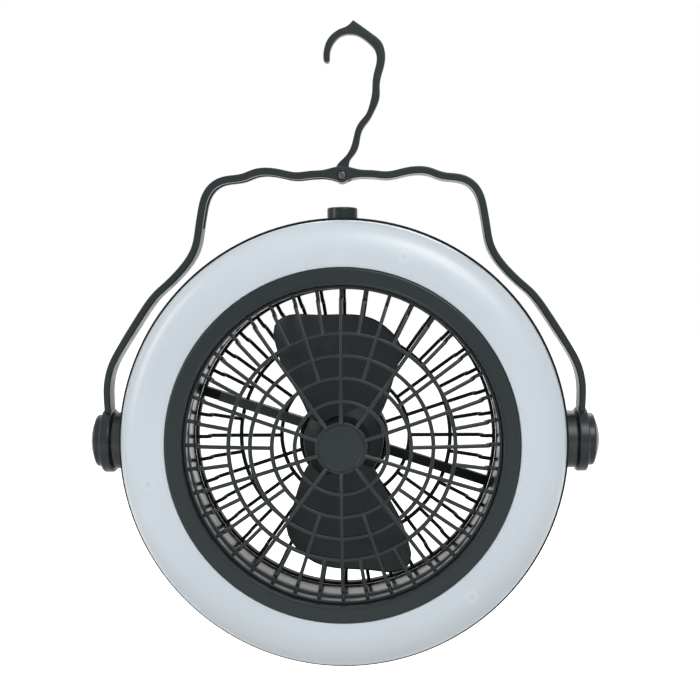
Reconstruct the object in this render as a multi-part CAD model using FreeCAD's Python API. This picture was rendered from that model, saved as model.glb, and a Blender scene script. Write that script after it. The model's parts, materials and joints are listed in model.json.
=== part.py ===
import FreeCAD, Part
import math
import os

# A hanging camping fan with a ring lantern round its front and a folding hook on its handle.
# Lengths are in millimetres. X runs across the fan, +Y towards its back and +Z up.
# Everything is drawn about the fan's own axis, with the handle's pivots in the plane y = 0,
# and is moved at the end so that the saddle of the hook is the origin.
# Angles round the fan are in degrees clockwise from the top, as seen from the front.

Vector = FreeCAD.Vector

# Fits
SEAT = 0.1              # gap round a piece that sits still in another
PIN_FIT = 0.05          # radial gap of a pin or shaft that turns in its hole
GLIDE = 0.3             # gap between faces that move past each other

# Round body, two shells that meet at the parting plane
DUCT_R = 77.5
BEZEL_W = 8.3           # dark ring between the duct and the light
LIGHT_W = 24.6          # from the dark ring to the outside of the body
WALL = 2.4
REAR_Y = 24.0
PARTING_Y = -4.0
DUCT_FRONT_Y = -27.6
REAR_EDGE_R = 10.0
MOUTH_R = 10.0
LIP_Y = -17.0
LIP_T = 1.2
LIP_DEPTH = 2.0
WEB_Y = -13.0
WEB_T = 2.0

# Bezel and light
BEZEL_T = 2.4
BEZEL_ROUND = 1.0
BEZEL_SKIRT = 1.5
BEAD_W = 1.2
BEAD_H = 0.5
DIFFUSER_T = 2.0
DIFFUSER_CROWN = 1.6
DIFFUSER_SINK = 0.6     # how far the light's inner rim lies behind the bezel's face
DIFFUSER_SIDE_H = 1.5   # straight side of the light above the lip
POST_R = 3.5
POST_ANGLES = (18.4, 139.5, 259.0)
POST_BORE_L = 11.0
POST_SCREW_L = 9.0
LED_BOARD_T = 1.6
LED_BOARD_GAP = 1.0     # from the edge of the light's board to the pivot bosses
LED_COUNT = 24
LED_INSET = 3.2
LED_SIZE = 3.0
LED_T = 0.8

# Front and rear guards
GUARD_RIBS = 40
RIB_W = 1.8
RIB_T = 2.4
RING_W = 1.9
RING_SINK = 0.25
RING_R = (22.2, 33.2, 43.8, 54.4)
GUARD_BEND_GAP = 6.9    # from the duct's wall to where the ribs bend
GUARD_CRANK = 5.8
FRONT_GUARD_SINK = 0.8  # how far the bend lies behind the bezel's face
FRONT_GUARD_RISE = 8.8
FRONT_HUB_R = 12.5
FRONT_HUB_FACE_R = 10.9
FRONT_HUB_STEP = 1.0
FRONT_HUB_T = 4.0
REAR_GUARD_SINK = 1.6   # how far the rear guard lies inside the back of the body
REAR_DISC_T = 3.0
SEAT_RING_T = 1.5
SEAT_RING_L = 5.0
STRUT_W = 5.0
STRUT_T = 6.2
STRUT_ANGLES = (108.0, 288.0)
WIRE_GROOVE_W = 2.8
WIRE_COVER_T = 1.2

# Motor and its cup in the rear guard
CUP_R = 22.5
CUP_WALL = 1.8
CUP_LIP = 0.4           # how far the cup stands past the front of the motor's can
MOTOR_R = 16.5
MOTOR_L = 18.0
MOTOR_WALL = 1.0
MOTOR_NECK = 1.6
SHAFT_R = 1.5
BUSH_R = 3.0
BUSH_L = 4.0
AIR_GAP = 0.9
MAGNET_T = 2.6
ARMATURE_L = 9.0
MOTOR_SCREW_R = 1.1
MOTOR_SCREW_X = 8.0
MOTOR_HEAD_T = 1.5

# Impeller
HUB_R = 20.0
HUB_L = 18.5
HUB_GAP = 3.0           # from the motor's cup to the back of the hub
HUB_WALL = 1.8
HUB_ROUND = 4.0
BLADE_T = 1.6
BLADE_SET = 9.0         # from the back of the hub to the middle of the blades
BLADE_ROOT_PITCH = 24.0
BLADE_TIP_PITCH = 14.0
BLADE_TIP_GAP = 8.95
NUT_T = 3.0
NUT_ACROSS = 8.0

# Outline of the upper blade seen from the front, from its left root round the tip to its right root,
# which is stretched so that its farthest point comes to the blade's tip radius
BLADE_LEFT = ((-15.5, 12.5), (-18.2, 17.6), (-29.1, 38.7), (-34.2, 53.6))
BLADE_TIP = ((-32.6, 60.2), (-28.6, 62.3), (-14.0, 62.9), (0.0, 63.0), (16.3, 59.1), (24.1, 51.7))
BLADE_RIGHT = ((30.6, 44.6), (25.9, 32.9), (21.9, 20.4), (17.0, 11.0))

# Power and control
CELL_R = 9.2
CELL_L = 65.0
CELL_TIP = 1.2
CELL_GAP = 1.2          # from the duct's wall to the cells
CELL_TURN = 22.5        # angle of each cell's middle from the foot of the body
CRADLE_FLOOR = 2.3
CRADLE_INSET = 4.5      # how much shorter than the cell its cradle is at each end
DIAL_R = 8.0
DIAL_H = 7.5
DIAL_COLLAR_R = 6.0
DIAL_COLLAR_H = 2.5
DIAL_BUSH_R = 3.4
BOARD_T = 1.6
BOARD_X = 40.0
BOARD_GAP = 2.0
SOCKET_W = 9.0
SOCKET_H = 3.2
SOCKET_L = 9.0
SOCKET_INSET = 0.6
SOCKET_WALL = 0.4

# Control knob on top
KNOB_R = 7.2
KNOB_H = 5.6
KNOB_LIFT = 0.4
KNOB_ROUND = 0.9
KNOB_SKIN = 1.6
KNOB_SHAFT_R = 3.0

# Screws that close the body, from the back
CASE_SCREW_TURN = 43.0  # angle of the upper pair from the top; the lower pair stands beside the cells
CASE_POST_R = 4.2
CASE_POST_GAP = 1.2
CASE_SCREW_R = 1.4
CASE_HEAD_R = 2.8
CASE_HEAD_T = 1.8
CASE_HEAD_Y = 6.0

# Handle pivots, along X
BOSS_R = 14.25
BOSS_DEPTH = 7.4        # how far the boss reaches into the body
BOSS_STAND = 4.6        # how far the boss stands out of the body
BOSS_FLANGE = 16.0
WASHER_T = 0.4
WASHER_R = 9.0
PIVOT_R = 4.0
PIVOT_THREAD_R = 2.2
PIVOT_HEAD_R = 6.5
PIVOT_HEAD_T = 2.2
HANDLE_HUB_R = 16.0
HANDLE_HUB_T = 5.4
HANDLE_HUB_ROUND = 1.2
HANDLE_HUB_EDGE = 0.8
CAP_R = 13.0
CAP_FLANK = 3.4
CAP_H = 6.4
CAP_CAVITY_R = 8.0
CAP_SKIN = 2.6

# Handle strap, right half of its outer line from the pivot up to the middle,
# which is stretched so that it starts at the pivot's hub and ends at the handle's rise
HANDLE_RISE = 26.1      # from the top of the body to the top of the strap
STRAP_INSET = 1.5       # how far the strap's foot lies inside the outer face of its hub
STRAP_W = 12.0
STRAP_T = 3.6
STRAP_FOOT_T = 3.0
STRAP_FOOT_L = 60.0
STRAP_LINE = (
    (119.6, 0.0), (120.2, 16.0), (120.5, 26.6), (118.0, 38.5), (113.7, 46.8), (108.0, 56.0),
    (101.5, 66.0), (94.5, 75.0), (89.6, 79.4), (84.0, 84.8), (79.0, 90.7), (75.3, 97.4),
    (73.5, 106.0), (72.0, 115.0), (70.1, 122.3), (67.0, 127.4), (61.7, 131.2), (56.4, 132.5),
    (49.8, 133.4), (44.0, 135.5), (38.0, 136.3), (29.2, 135.1), (23.0, 133.9), (15.4, 134.5),
    (8.5, 135.0), (3.6, 136.2), (0.0, 136.5),
)
LOBE_HALF_W = 11.0
LOBE_DEPTH = 4.4

# Folding hook, drawn open, in (x, z) from its pivot
HOOK_PIVOT_DROP = 4.4   # from the top of the strap to the hook's pivot
HOOK_T = 5.0
HOOK_EYE_R = 4.3
HOOK_SCREW_R = 1.5
HOOK_HEAD_R = 2.2
HOOK_HEAD_T = 1.3
HOOK_SLOT_DROP = 25.5   # from the hook's pivot to the foot of its slot
HOOK_SADDLE = 69.2      # from the hook's pivot to where it hangs
HOOK_OUTER = (
    (3.9, 1.9), (3.9, 7.5), (6.1, 10.4), (8.4, 14.9), (9.4, 20.0), (10.6, 23.2),
    (13.9, 27.7), (16.4, 32.2), (18.4, 36.7), (19.1, 40.6), (19.1, 45.0), (19.9, 49.5),
    (21.2, 54.0), (21.9, 58.5), (21.5, 62.4), (19.9, 66.2), (16.4, 69.4), (11.3, 73.2),
    (6.1, 76.9),
)
HOOK_CREST = (
    (6.1, 76.9), (2.6, 73.8), (-0.2, 72.8), (-3.5, 70.9), (-6.7, 67.5), (-8.3, 63.6),
    (-8.9, 59.2), (-8.8, 57.7),
)
HOOK_TIP = ((-8.8, 57.7), (-7.2, 56.1), (-5.7, 57.7))
HOOK_INNER = (
    (-5.7, 57.7), (-5.4, 61.9), (-3.4, 66.2), (-0.2, 69.1), (3.6, 70.1), (7.4, 69.7),
    (10.6, 68.1), (14.5, 64.9), (16.8, 62.0), (17.6, 58.9), (17.5, 55.9), (16.4, 51.5),
    (15.5, 46.3), (15.2, 40.9), (13.9, 35.1), (12.0, 30.3), (8.7, 26.4), (6.8, 22.6),
    (5.5, 17.5), (4.2, 13.6), (1.7, 9.7), (-2.4, 5.5), (-3.9, 1.9),
)

# Sizes that follow from those above
BEZEL_R = DUCT_R + BEZEL_W
BODY_R = BEZEL_R + LIGHT_W
BODY_IN_R = BODY_R - WALL
DUCT_OUT_R = DUCT_R + WALL
WEB_BACK_Y = WEB_Y + WEB_T
BEZEL_Y = DUCT_FRONT_Y - BEZEL_T
DIFFUSER_IN_R = BEZEL_R + 2 * SEAT
DIFFUSER_OUT_R = BODY_R - LIP_T - SEAT
DIFFUSER_TOP_Y = BEZEL_Y + DIFFUSER_SINK
DIFFUSER_SIDE_Y = LIP_Y - DIFFUSER_SIDE_H
LIP_FLOOR_Y = LIP_Y + LIP_DEPTH
GUARD_BEND_R = DUCT_R - GUARD_BEND_GAP
SEAT_RING_R = DUCT_R - SEAT
FRONT_GUARD_Y = BEZEL_Y + FRONT_GUARD_SINK
REAR_GUARD_Y = REAR_Y - REAR_GUARD_SINK
REAR_DISC_IN_Y = REAR_GUARD_Y - REAR_DISC_T
MOTOR_FRONT_Y = REAR_DISC_IN_Y - MOTOR_L
CUP_FRONT_Y = MOTOR_FRONT_Y - CUP_LIP
HUB_BACK_Y = CUP_FRONT_Y - HUB_GAP
HUB_FRONT_Y = HUB_BACK_Y - HUB_L
BLADE_MID_Y = HUB_BACK_Y - BLADE_SET
BLADE_TIP_R = DUCT_R - BLADE_TIP_GAP
BORE_R = SHAFT_R + PIN_FIT
CELL_LINE_R = DUCT_OUT_R + CELL_GAP + CELL_R
CELL_Y = WEB_BACK_Y + CRADLE_FLOOR + CELL_R
CELL_ANGLES = (180 - CELL_TURN, 180 + CELL_TURN)
CASE_SCREW_CIRCLE_R = (DUCT_OUT_R + BODY_IN_R) / 2
CASE_POST_SIDE = CELL_L / 2 + CELL_TIP + CASE_POST_GAP + CASE_POST_R
LOWER_SCREW_TURN = CELL_TURN + math.degrees(math.asin(CASE_POST_SIDE / CASE_SCREW_CIRCLE_R))
CASE_SCREW_ANGLES = (
    CASE_SCREW_TURN, 180 - LOWER_SCREW_TURN, 180 + LOWER_SCREW_TURN, 360 - CASE_SCREW_TURN,
)
DIAL_TOP_Z = BODY_IN_R - DIAL_COLLAR_H
DIAL_BASE_Z = DIAL_TOP_Z - DIAL_H
DIAL_BORE_Z = DIAL_BASE_Z + DIAL_H / 2
KNOB_BASE_Z = BODY_R + KNOB_LIFT
BOSS_IN_X = BODY_R - BOSS_DEPTH
BOSS_X = BODY_R + BOSS_STAND
HANDLE_IN_X = BOSS_X + WASHER_T + GLIDE
HANDLE_OUT_X = HANDLE_IN_X + HANDLE_HUB_T
LED_BOARD_IN_R = DIFFUSER_IN_R + DIFFUSER_T + 3 * SEAT
LED_BOARD_OUT_R = BOSS_IN_X - LED_BOARD_GAP
LED_CIRCLE_R = LED_BOARD_IN_R + LED_INSET
POST_CIRCLE_R = (LED_BOARD_IN_R + LED_BOARD_OUT_R) / 2
STRAP_TOP = BODY_R + HANDLE_RISE
HOOK_PIVOT_Z = STRAP_TOP - HOOK_PIVOT_DROP
HOOK_SLOT_FOOT_Z = HOOK_PIVOT_Z - HOOK_SLOT_DROP
SADDLE_Z = HOOK_PIVOT_Z + HOOK_SADDLE


def wire_of(path):
    """Closed wire from (a, b, c) points; a pair of points inside the path is an arc by its middle and end."""
    edges = []
    here = path[0]
    for item in list(path[1:]) + [path[0]]:
        if isinstance(item[0], tuple):
            middle, end = item
            edges.append(Part.Arc(Vector(*here), Vector(*middle), Vector(*end)).toShape())
        else:
            end = item
            if Vector(*here).distanceToPoint(Vector(*end)) > 1e-6:
                edges.append(Part.LineSegment(Vector(*here), Vector(*end)).toShape())
        here = end
    return Part.Wire(edges)


def lift(path, place):
    """Turn a path of flat points into one of points in space with the function place."""
    lifted = []
    for item in path:
        if isinstance(item[0], tuple):
            lifted.append(tuple(place(*point) for point in item))
        else:
            lifted.append(place(*item))
    return lifted


def turned(path):
    """Solid of revolution about the fan's axis from a path of (radius, y) points."""
    wire = wire_of(lift(path, lambda r, y: (r, y, 0.0)))
    return Part.Face(wire).revolve(Vector(0, 0, 0), Vector(0, 1, 0), 360)


def turned_on_x(path):
    """Solid of revolution about the handle's pivot line from a path of (x, radius) points."""
    wire = wire_of(lift(path, lambda x, r: (x, r, 0.0)))
    return Part.Face(wire).revolve(Vector(0, 0, 0), Vector(1, 0, 0), 360)


def quarter(centre, radius, start_deg, end_deg):
    """Middle and end point of an arc, as (a, b) pairs, for use in a path."""
    points = []
    for deg in ((start_deg + end_deg) / 2, end_deg):
        turn = math.radians(deg)
        points.append((centre[0] + radius * math.cos(turn), centre[1] + radius * math.sin(turn)))
    return tuple(points)


def tube(r_in, r_out, y_front, y_back):
    """Ring about the fan's axis."""
    outer = disc(r_out, y_front, y_back)
    return outer.cut(disc(r_in, y_front - 1, y_back + 1))


def disc(radius, y_front, y_back):
    """Round bar along the fan's axis."""
    return Part.makeCylinder(radius, y_back - y_front, Vector(0, y_front, 0), Vector(0, 1, 0))


def rod_y(radius, x, z, y_front, y_back):
    """Round bar parallel to the fan's axis."""
    return Part.makeCylinder(radius, y_back - y_front, Vector(x, y_front, z), Vector(0, 1, 0))


def rod_x(radius, x_from, x_to):
    """Round bar along the handle's pivot line."""
    return Part.makeCylinder(radius, x_to - x_from, Vector(x_from, 0, 0), Vector(1, 0, 0))


def rod_z(radius, z_from, z_to):
    """Upright round bar through the middle of the fan."""
    return Part.makeCylinder(radius, z_to - z_from, Vector(0, 0, z_from), Vector(0, 0, 1))


def block(x_from, x_to, y_from, y_to, z_from, z_to):
    """Box between two corners."""
    return Part.makeBox(x_to - x_from, y_to - y_from, z_to - z_from, Vector(x_from, y_from, z_from))


def at_angle(shape, degrees):
    """Turn a shape drawn at the top of the fan clockwise to its place."""
    moved = shape.copy()
    moved.rotate(Vector(0, 0, 0), Vector(0, 1, 0), degrees)
    return moved


def polar(radius, degrees):
    """The (x, z) of a point at a radius and an angle clockwise from the top."""
    turn = math.radians(degrees)
    return radius * math.sin(turn), radius * math.cos(turn)


def mirrored(shape):
    """The same piece on the other side of the fan."""
    return shape.mirror(Vector(0, 0, 0), Vector(1, 0, 0))


def joined(shapes):
    """One solid out of several that touch or overlap."""
    whole = shapes[0].multiFuse(shapes[1:]).removeSplitter()
    return whole.Solids[0] if len(whole.Solids) == 1 else whole


def group(shapes):
    """Separate solids kept in one file."""
    return Part.Compound([solid for shape in shapes for solid in shape.Solids])


def boss_room():
    """Space in the body for the two pivot bosses."""
    room = rod_x(BOSS_R + SEAT, BOSS_IN_X - SEAT, BOSS_X + 1)
    return [room, mirrored(room)]


def front_shell():
    """Front half of the body: duct wall, web that carries the light, outer wall with a lip."""
    lip_mid = BODY_R - LIP_T / 2
    body = turned([
        (DUCT_R, DUCT_FRONT_Y), (DUCT_OUT_R, DUCT_FRONT_Y), (DUCT_OUT_R, WEB_Y),
        (BODY_IN_R, WEB_Y), (BODY_IN_R, LIP_FLOOR_Y), (BODY_R - LIP_T, LIP_FLOOR_Y),
        (BODY_R - LIP_T, LIP_Y), ((lip_mid, LIP_Y - LIP_T / 2), (BODY_R, LIP_Y)),
        (BODY_R, PARTING_Y), (BODY_IN_R, PARTING_Y), (BODY_IN_R, WEB_BACK_Y),
        (DUCT_OUT_R, WEB_BACK_Y), (DUCT_OUT_R, PARTING_Y), (DUCT_R, PARTING_Y),
    ])
    posts = []
    holes = boss_room()
    for angle in CASE_SCREW_ANGLES:
        x, z = polar(CASE_SCREW_CIRCLE_R, angle)
        posts.append(rod_y(CASE_POST_R, x, z, WEB_BACK_Y - WEB_T / 2, PARTING_Y))
        holes.append(rod_y(CASE_SCREW_R, x, z, WEB_BACK_Y, PARTING_Y + 1))
    for angle in POST_ANGLES:
        x, z = polar(POST_CIRCLE_R, angle)
        holes.append(rod_y(CASE_SCREW_R + SEAT, x, z, WEB_Y - 1, WEB_BACK_Y + 1))
    return joined([body] + posts).cut(holes)


def rear_shell():
    """Rear half of the body, with the bell mouth of the duct and the rounded back edge."""
    inner_bend = REAR_EDGE_R - WALL
    edge_r = BODY_R - REAR_EDGE_R
    edge_y = REAR_Y - REAR_EDGE_R
    mouth_r = DUCT_R + MOUTH_R
    mouth_y = REAR_Y - MOUTH_R
    body = turned([
        (DUCT_R, PARTING_Y), (DUCT_R, mouth_y), quarter((mouth_r, mouth_y), MOUTH_R, 180, 90),
        (edge_r, REAR_Y), quarter((edge_r, edge_y), REAR_EDGE_R, 90, 0),
        (BODY_R, PARTING_Y), (BODY_IN_R, PARTING_Y),
        (BODY_IN_R, edge_y), quarter((edge_r, edge_y), inner_bend, 0, 90),
        (mouth_r, REAR_Y - WALL), quarter((mouth_r, mouth_y), MOUTH_R - WALL, 90, 180),
        (DUCT_OUT_R, PARTING_Y),
    ])
    posts = []
    holes = boss_room()
    for angle in CASE_SCREW_ANGLES:
        x, z = polar(CASE_SCREW_CIRCLE_R, angle)
        posts.append(rod_y(CASE_POST_R, x, z, PARTING_Y, REAR_Y - WALL / 2))
        holes.append(rod_y(CASE_HEAD_R + 2 * SEAT, x, z, CASE_HEAD_Y, REAR_Y + 1))
        holes.append(rod_y(CASE_SCREW_R + SEAT, x, z, PARTING_Y - 1, CASE_HEAD_Y + 1))
    holes.append(rod_z(DIAL_BUSH_R + SEAT, DIAL_TOP_Z, BODY_R + 1))
    slot_half = SOCKET_W / 2 + 3 * SEAT
    socket_mid_z = DIAL_BASE_Z + SOCKET_H / 2
    slot_rise = SOCKET_H / 2 + 3 * SEAT
    holes.append(block(-slot_half, slot_half, REAR_Y - 2 * WALL, REAR_Y + 1,
                       socket_mid_z - slot_rise, socket_mid_z + slot_rise))
    return joined([body] + posts).cut(holes)


def front_bezel():
    """Dark ring over the front of the duct, with a raised bead round its opening."""
    edge_r = BEZEL_R - BEZEL_ROUND
    edge_y = BEZEL_Y + BEZEL_ROUND
    bead_y = BEZEL_Y - BEAD_H
    skirt_r = BEZEL_R - BEZEL_SKIRT
    return turned([
        (DUCT_R, DUCT_FRONT_Y), (DUCT_R, bead_y + BEAD_W / 2),
        ((DUCT_R + BEAD_W / 2, bead_y), (DUCT_R + BEAD_W, bead_y + BEAD_W / 2)),
        (DUCT_R + BEAD_W, BEZEL_Y), (edge_r, BEZEL_Y),
        quarter((edge_r, edge_y), BEZEL_ROUND, -90, 0),
        (BEZEL_R, WEB_Y), (skirt_r, WEB_Y), (skirt_r, DUCT_FRONT_Y),
    ])


def crown_curve(r_in, r_out, y_top, y_side, crown):
    """Flat-topped curve of the diffuser from its inner rim out to its side, as a Bezier edge."""
    poles = [
        Vector(r_in, y_top, 0), Vector(r_in + 0.5 * (r_out - r_in), y_top - crown, 0),
        Vector(r_out - 0.02 * (r_out - r_in), y_top + 0.6 * crown, 0), Vector(r_out, y_side, 0),
    ]
    curve = Part.BezierCurve()
    curve.setPoles(poles)
    return curve.toShape()


def light_diffuser():
    """Milky ring of light: a crowned shell with a skirt on each side and three screw posts."""
    top_y = DIFFUSER_TOP_Y
    side_y = DIFFUSER_SIDE_Y
    in_r = DIFFUSER_IN_R
    out_r = DIFFUSER_OUT_R
    skin = DIFFUSER_T
    outer = crown_curve(in_r, out_r, top_y, side_y, DIFFUSER_CROWN)
    inner = crown_curve(in_r + skin, out_r - skin, top_y + skin, side_y, DIFFUSER_CROWN)
    corners = [
        (out_r, side_y), (out_r, LIP_FLOOR_Y), (out_r - skin, LIP_FLOOR_Y), (out_r - skin, side_y),
    ]
    rim = [
        (in_r + skin, top_y + skin), (in_r + skin, WEB_Y), (in_r, WEB_Y), (in_r, top_y),
    ]
    edges = [outer, inner]
    for chain in (corners, rim):
        for start, end in zip(chain[:-1], chain[1:]):
            edges.append(Part.LineSegment(Vector(*start, 0), Vector(*end, 0)).toShape())
    wire = Part.Wire(Part.__sortEdges__(edges))
    shell = Part.Face(wire).revolve(Vector(0, 0, 0), Vector(0, 1, 0), 360)
    posts = []
    bores = []
    for angle in POST_ANGLES:
        x, z = polar(POST_CIRCLE_R, angle)
        posts.append(rod_y(POST_R, x, z, top_y + skin / 4, WEB_Y))
        bores.append(rod_y(CASE_SCREW_R, x, z, WEB_Y - POST_BORE_L, WEB_Y + 1))
    return joined([shell] + posts).cut(bores)


def diffuser_screws():
    """Three screws that hold the diffuser's posts to the web from behind."""
    screws = []
    for angle in POST_ANGLES:
        x, z = polar(POST_CIRCLE_R, angle)
        head = rod_y(CASE_HEAD_R, x, z, WEB_BACK_Y, WEB_BACK_Y + CASE_HEAD_T)
        shank = rod_y(CASE_SCREW_R - SEAT / 2, x, z, WEB_Y - POST_SCREW_L, WEB_BACK_Y + CASE_HEAD_T / 2)
        screws.append(joined([head, shank]))
    return group(screws)


def led_board():
    """Ring of circuit board on the web, with holes for the diffuser's posts."""
    board = tube(LED_BOARD_IN_R, LED_BOARD_OUT_R, WEB_Y - LED_BOARD_T, WEB_Y)
    holes = []
    for angle in POST_ANGLES:
        x, z = polar(POST_CIRCLE_R, angle)
        holes.append(rod_y(POST_R + 2 * SEAT, x, z, WEB_Y - 2 * LED_BOARD_T, WEB_Y + LED_BOARD_T))
    return board.cut(holes)


def led_chips():
    """The light's diodes, evenly round the board."""
    chips = []
    half = LED_SIZE / 2
    front = WEB_Y - LED_BOARD_T - LED_T
    chip = block(-half, half, front, front + LED_T, LED_CIRCLE_R - half, LED_CIRCLE_R + half)
    for index in range(LED_COUNT):
        chips.append(at_angle(chip, (index + 0.5) * 360.0 / LED_COUNT))
    return group(chips)


def dome_drop(radius, rise):
    """How far a dome of a given rise over the bend radius lies behind its top at a radius."""
    if rise < 0.01:
        return 0.0
    ball = (GUARD_BEND_R ** 2 + rise ** 2) / (2 * rise)
    return ball - math.sqrt(ball ** 2 - radius ** 2)


def guard_rib(start_r, width, thickness, rise):
    """One rib at the top: it follows the dome, bends back near the duct and ends in the seat ring."""
    half_t = RIB_T / 2
    bend_out = GUARD_BEND_R + half_t
    bend_in = GUARD_BEND_R - half_t
    foot_y = GUARD_CRANK + RIB_T

    def face(radius):
        return dome_drop(min(radius, GUARD_BEND_R), rise) - rise

    middle = (start_r + bend_in) / 2
    path = [(start_r, face(start_r))]
    if rise > 0.01:
        path.append(((middle, face(middle)), (bend_in, face(bend_in))))
    path += [
        (bend_out, face(bend_out)), (bend_out, GUARD_CRANK), (SEAT_RING_R - SEAT_RING_T / 2, GUARD_CRANK),
        (SEAT_RING_R - SEAT_RING_T / 2, foot_y), (bend_in, foot_y), (bend_in, face(bend_in) + thickness),
    ]
    if rise > 0.01:
        path.append(((middle, face(middle) + thickness), (start_r, face(start_r) + thickness)))
    else:
        path.append((start_r, face(start_r) + thickness))
    wire = wire_of(lift(path, lambda r, y: (-width / 2, y, r)))
    return Part.Face(wire).extrude(Vector(width, 0, 0))


def guard_ring(radius, rise):
    """One ring of a guard, a little behind the faces of the ribs."""
    face = dome_drop(radius, rise) - rise + RING_SINK
    return tube(radius - RING_W / 2, radius + RING_W / 2, face, face + RIB_T)


def guard_ribs(rise, middle_r, bars):
    """All ribs of a guard: every fourth from the middle, then from the second ring, then the last."""
    pitch = 360.0 / GUARD_RIBS
    ribs = []
    for index in range(GUARD_RIBS):
        angle = index * pitch
        if angle in bars:
            continue
        start_r = middle_r if index % 4 == 0 else RING_R[1] if index % 2 == 0 else RING_R[3]
        ribs.append(at_angle(guard_rib(start_r, RIB_W, RIB_T, rise), angle))
    return ribs


def seat_ring():
    """Ring that sits in the duct and carries the feet of the ribs."""
    foot_y = GUARD_CRANK + RIB_T
    return tube(SEAT_RING_R - SEAT_RING_T, SEAT_RING_R, foot_y - SEAT_RING_L, foot_y + RING_SINK)


def front_grille():
    """Domed front guard with a stepped disc in the middle."""
    rise = FRONT_GUARD_RISE
    hub = turned([
        (0, -rise), (FRONT_HUB_FACE_R - 0.5, -rise), (FRONT_HUB_FACE_R, -rise + 0.5),
        (FRONT_HUB_FACE_R, FRONT_HUB_STEP - rise), (FRONT_HUB_R, FRONT_HUB_STEP - rise),
        (FRONT_HUB_R, FRONT_HUB_T - rise), (0, FRONT_HUB_T - rise),
    ])
    rings = [guard_ring(radius, rise) for radius in RING_R]
    ribs = guard_ribs(rise, FRONT_HUB_R - 1.0, ())
    guard = joined([hub, seat_ring()] + rings + ribs)
    guard.translate(Vector(0, FRONT_GUARD_Y, 0))
    return guard


def motor_cup():
    """Cup for the motor in the middle of the rear guard, in the guard's own depth from its face."""
    depth = REAR_GUARD_Y - CUP_FRONT_Y
    cup_in = CUP_R - CUP_WALL
    wall = tube(cup_in, CUP_R, REAR_DISC_T - 0.5, depth)
    keys = []
    for index in range(4):
        key = block(-1.0, 1.0, REAR_DISC_T - 0.5, depth - 3, MOTOR_R + SEAT, cup_in + 0.5)
        keys.append(at_angle(key, 45 + 90 * index))
    return [disc(CUP_R, 0, REAR_DISC_T), wall] + keys


def rear_grille():
    """Flat rear guard with the motor's cup and two thick struts, one of them a wire channel."""
    rings = [guard_ring(RING_R[1], 0), guard_ring(RING_R[3], 0)]
    bars = [at_angle(guard_rib(CUP_R - 1.0, STRUT_W, STRUT_T, 0), angle) for angle in STRUT_ANGLES]
    ribs = guard_ribs(0, CUP_R - 1.0, STRUT_ANGLES)
    guard = joined(motor_cup() + [seat_ring()] + rings + bars + ribs)
    guard = guard.mirror(Vector(0, 0, 0), Vector(0, 1, 0))
    guard.translate(Vector(0, REAR_GUARD_Y, 0))
    cuts = [at_angle(wire_groove(), STRUT_ANGLES[1])]
    for side in (-1, 1):
        x = side * MOTOR_SCREW_X
        cuts.append(rod_y(2 * MOTOR_SCREW_R + SEAT, x, 0, REAR_GUARD_Y - MOTOR_HEAD_T, REAR_GUARD_Y + 1))
        cuts.append(rod_y(MOTOR_SCREW_R + SEAT, x, 0, REAR_DISC_IN_Y - 1, REAR_GUARD_Y))
    return guard.cut(cuts)


def wire_groove():
    """Groove along the front of a strut, drawn at the top."""
    front = REAR_GUARD_Y - STRUT_T
    half = WIRE_GROOVE_W / 2
    return block(-half, half, front - 1, front + WIRE_GROOVE_W, CUP_R + 2, GUARD_BEND_R - 3)


def wire_channel_cover():
    """Strip that closes the groove over the motor's wires."""
    front = REAR_GUARD_Y - STRUT_T
    half = STRUT_W / 2
    tongue = WIRE_GROOVE_W / 2 - SEAT
    inner = CUP_R + 0.5
    outer = GUARD_BEND_R - RIB_T
    strip = block(-half, half, front - WIRE_COVER_T, front, inner, outer)
    key = block(-tongue, tongue, front - 0.2, front + 1, CUP_R + 3, outer - 3)
    return at_angle(joined([strip, key]), STRUT_ANGLES[1])


def motor_can():
    """Steel can of the motor, open at the back, with a neck for the front bush."""
    wall = MOTOR_WALL
    front = MOTOR_FRONT_Y
    neck = BUSH_R + SEAT
    neck_y = front - MOTOR_NECK
    return turned([
        (neck, neck_y), (neck + wall, neck_y), (neck + wall, front), (MOTOR_R - wall, front),
        quarter((MOTOR_R - wall, front + wall), wall, -90, 0), (MOTOR_R, REAR_DISC_IN_Y),
        (MOTOR_R - wall, REAR_DISC_IN_Y), (MOTOR_R - wall, front + wall), (neck, front + wall),
    ])


def motor_end_cap():
    """Plastic cap in the back of the can, with the rear bush in its middle."""
    cap = tube(BUSH_R + SEAT, MOTOR_R - MOTOR_WALL - SEAT, REAR_DISC_IN_Y - 2.2, REAR_DISC_IN_Y)
    holes = [rod_y(MOTOR_SCREW_R, side * MOTOR_SCREW_X, 0, REAR_DISC_IN_Y - 3, REAR_GUARD_Y)
             for side in (-1, 1)]
    return cap.cut(holes)


def motor_bushes():
    """Front and rear bush that the shaft turns in."""
    front_start = MOTOR_FRONT_Y - MOTOR_NECK
    rear_end = REAR_DISC_IN_Y - SEAT
    return [tube(BORE_R, BUSH_R, front_start, front_start + BUSH_L),
            tube(BORE_R, BUSH_R, rear_end - BUSH_L, rear_end)]


def motor_magnets():
    """Two curved magnets inside the can."""
    out_r = MOTOR_R - MOTOR_WALL - SEAT
    start = MOTOR_FRONT_Y + 3
    ring = tube(out_r - MAGNET_T, out_r, start, start + ARMATURE_L + 2)
    gap = block(-4.5, 4.5, start - 1, start + ARMATURE_L + 3, -MOTOR_R, MOTOR_R)
    return group([ring.cut(gap)])


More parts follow.
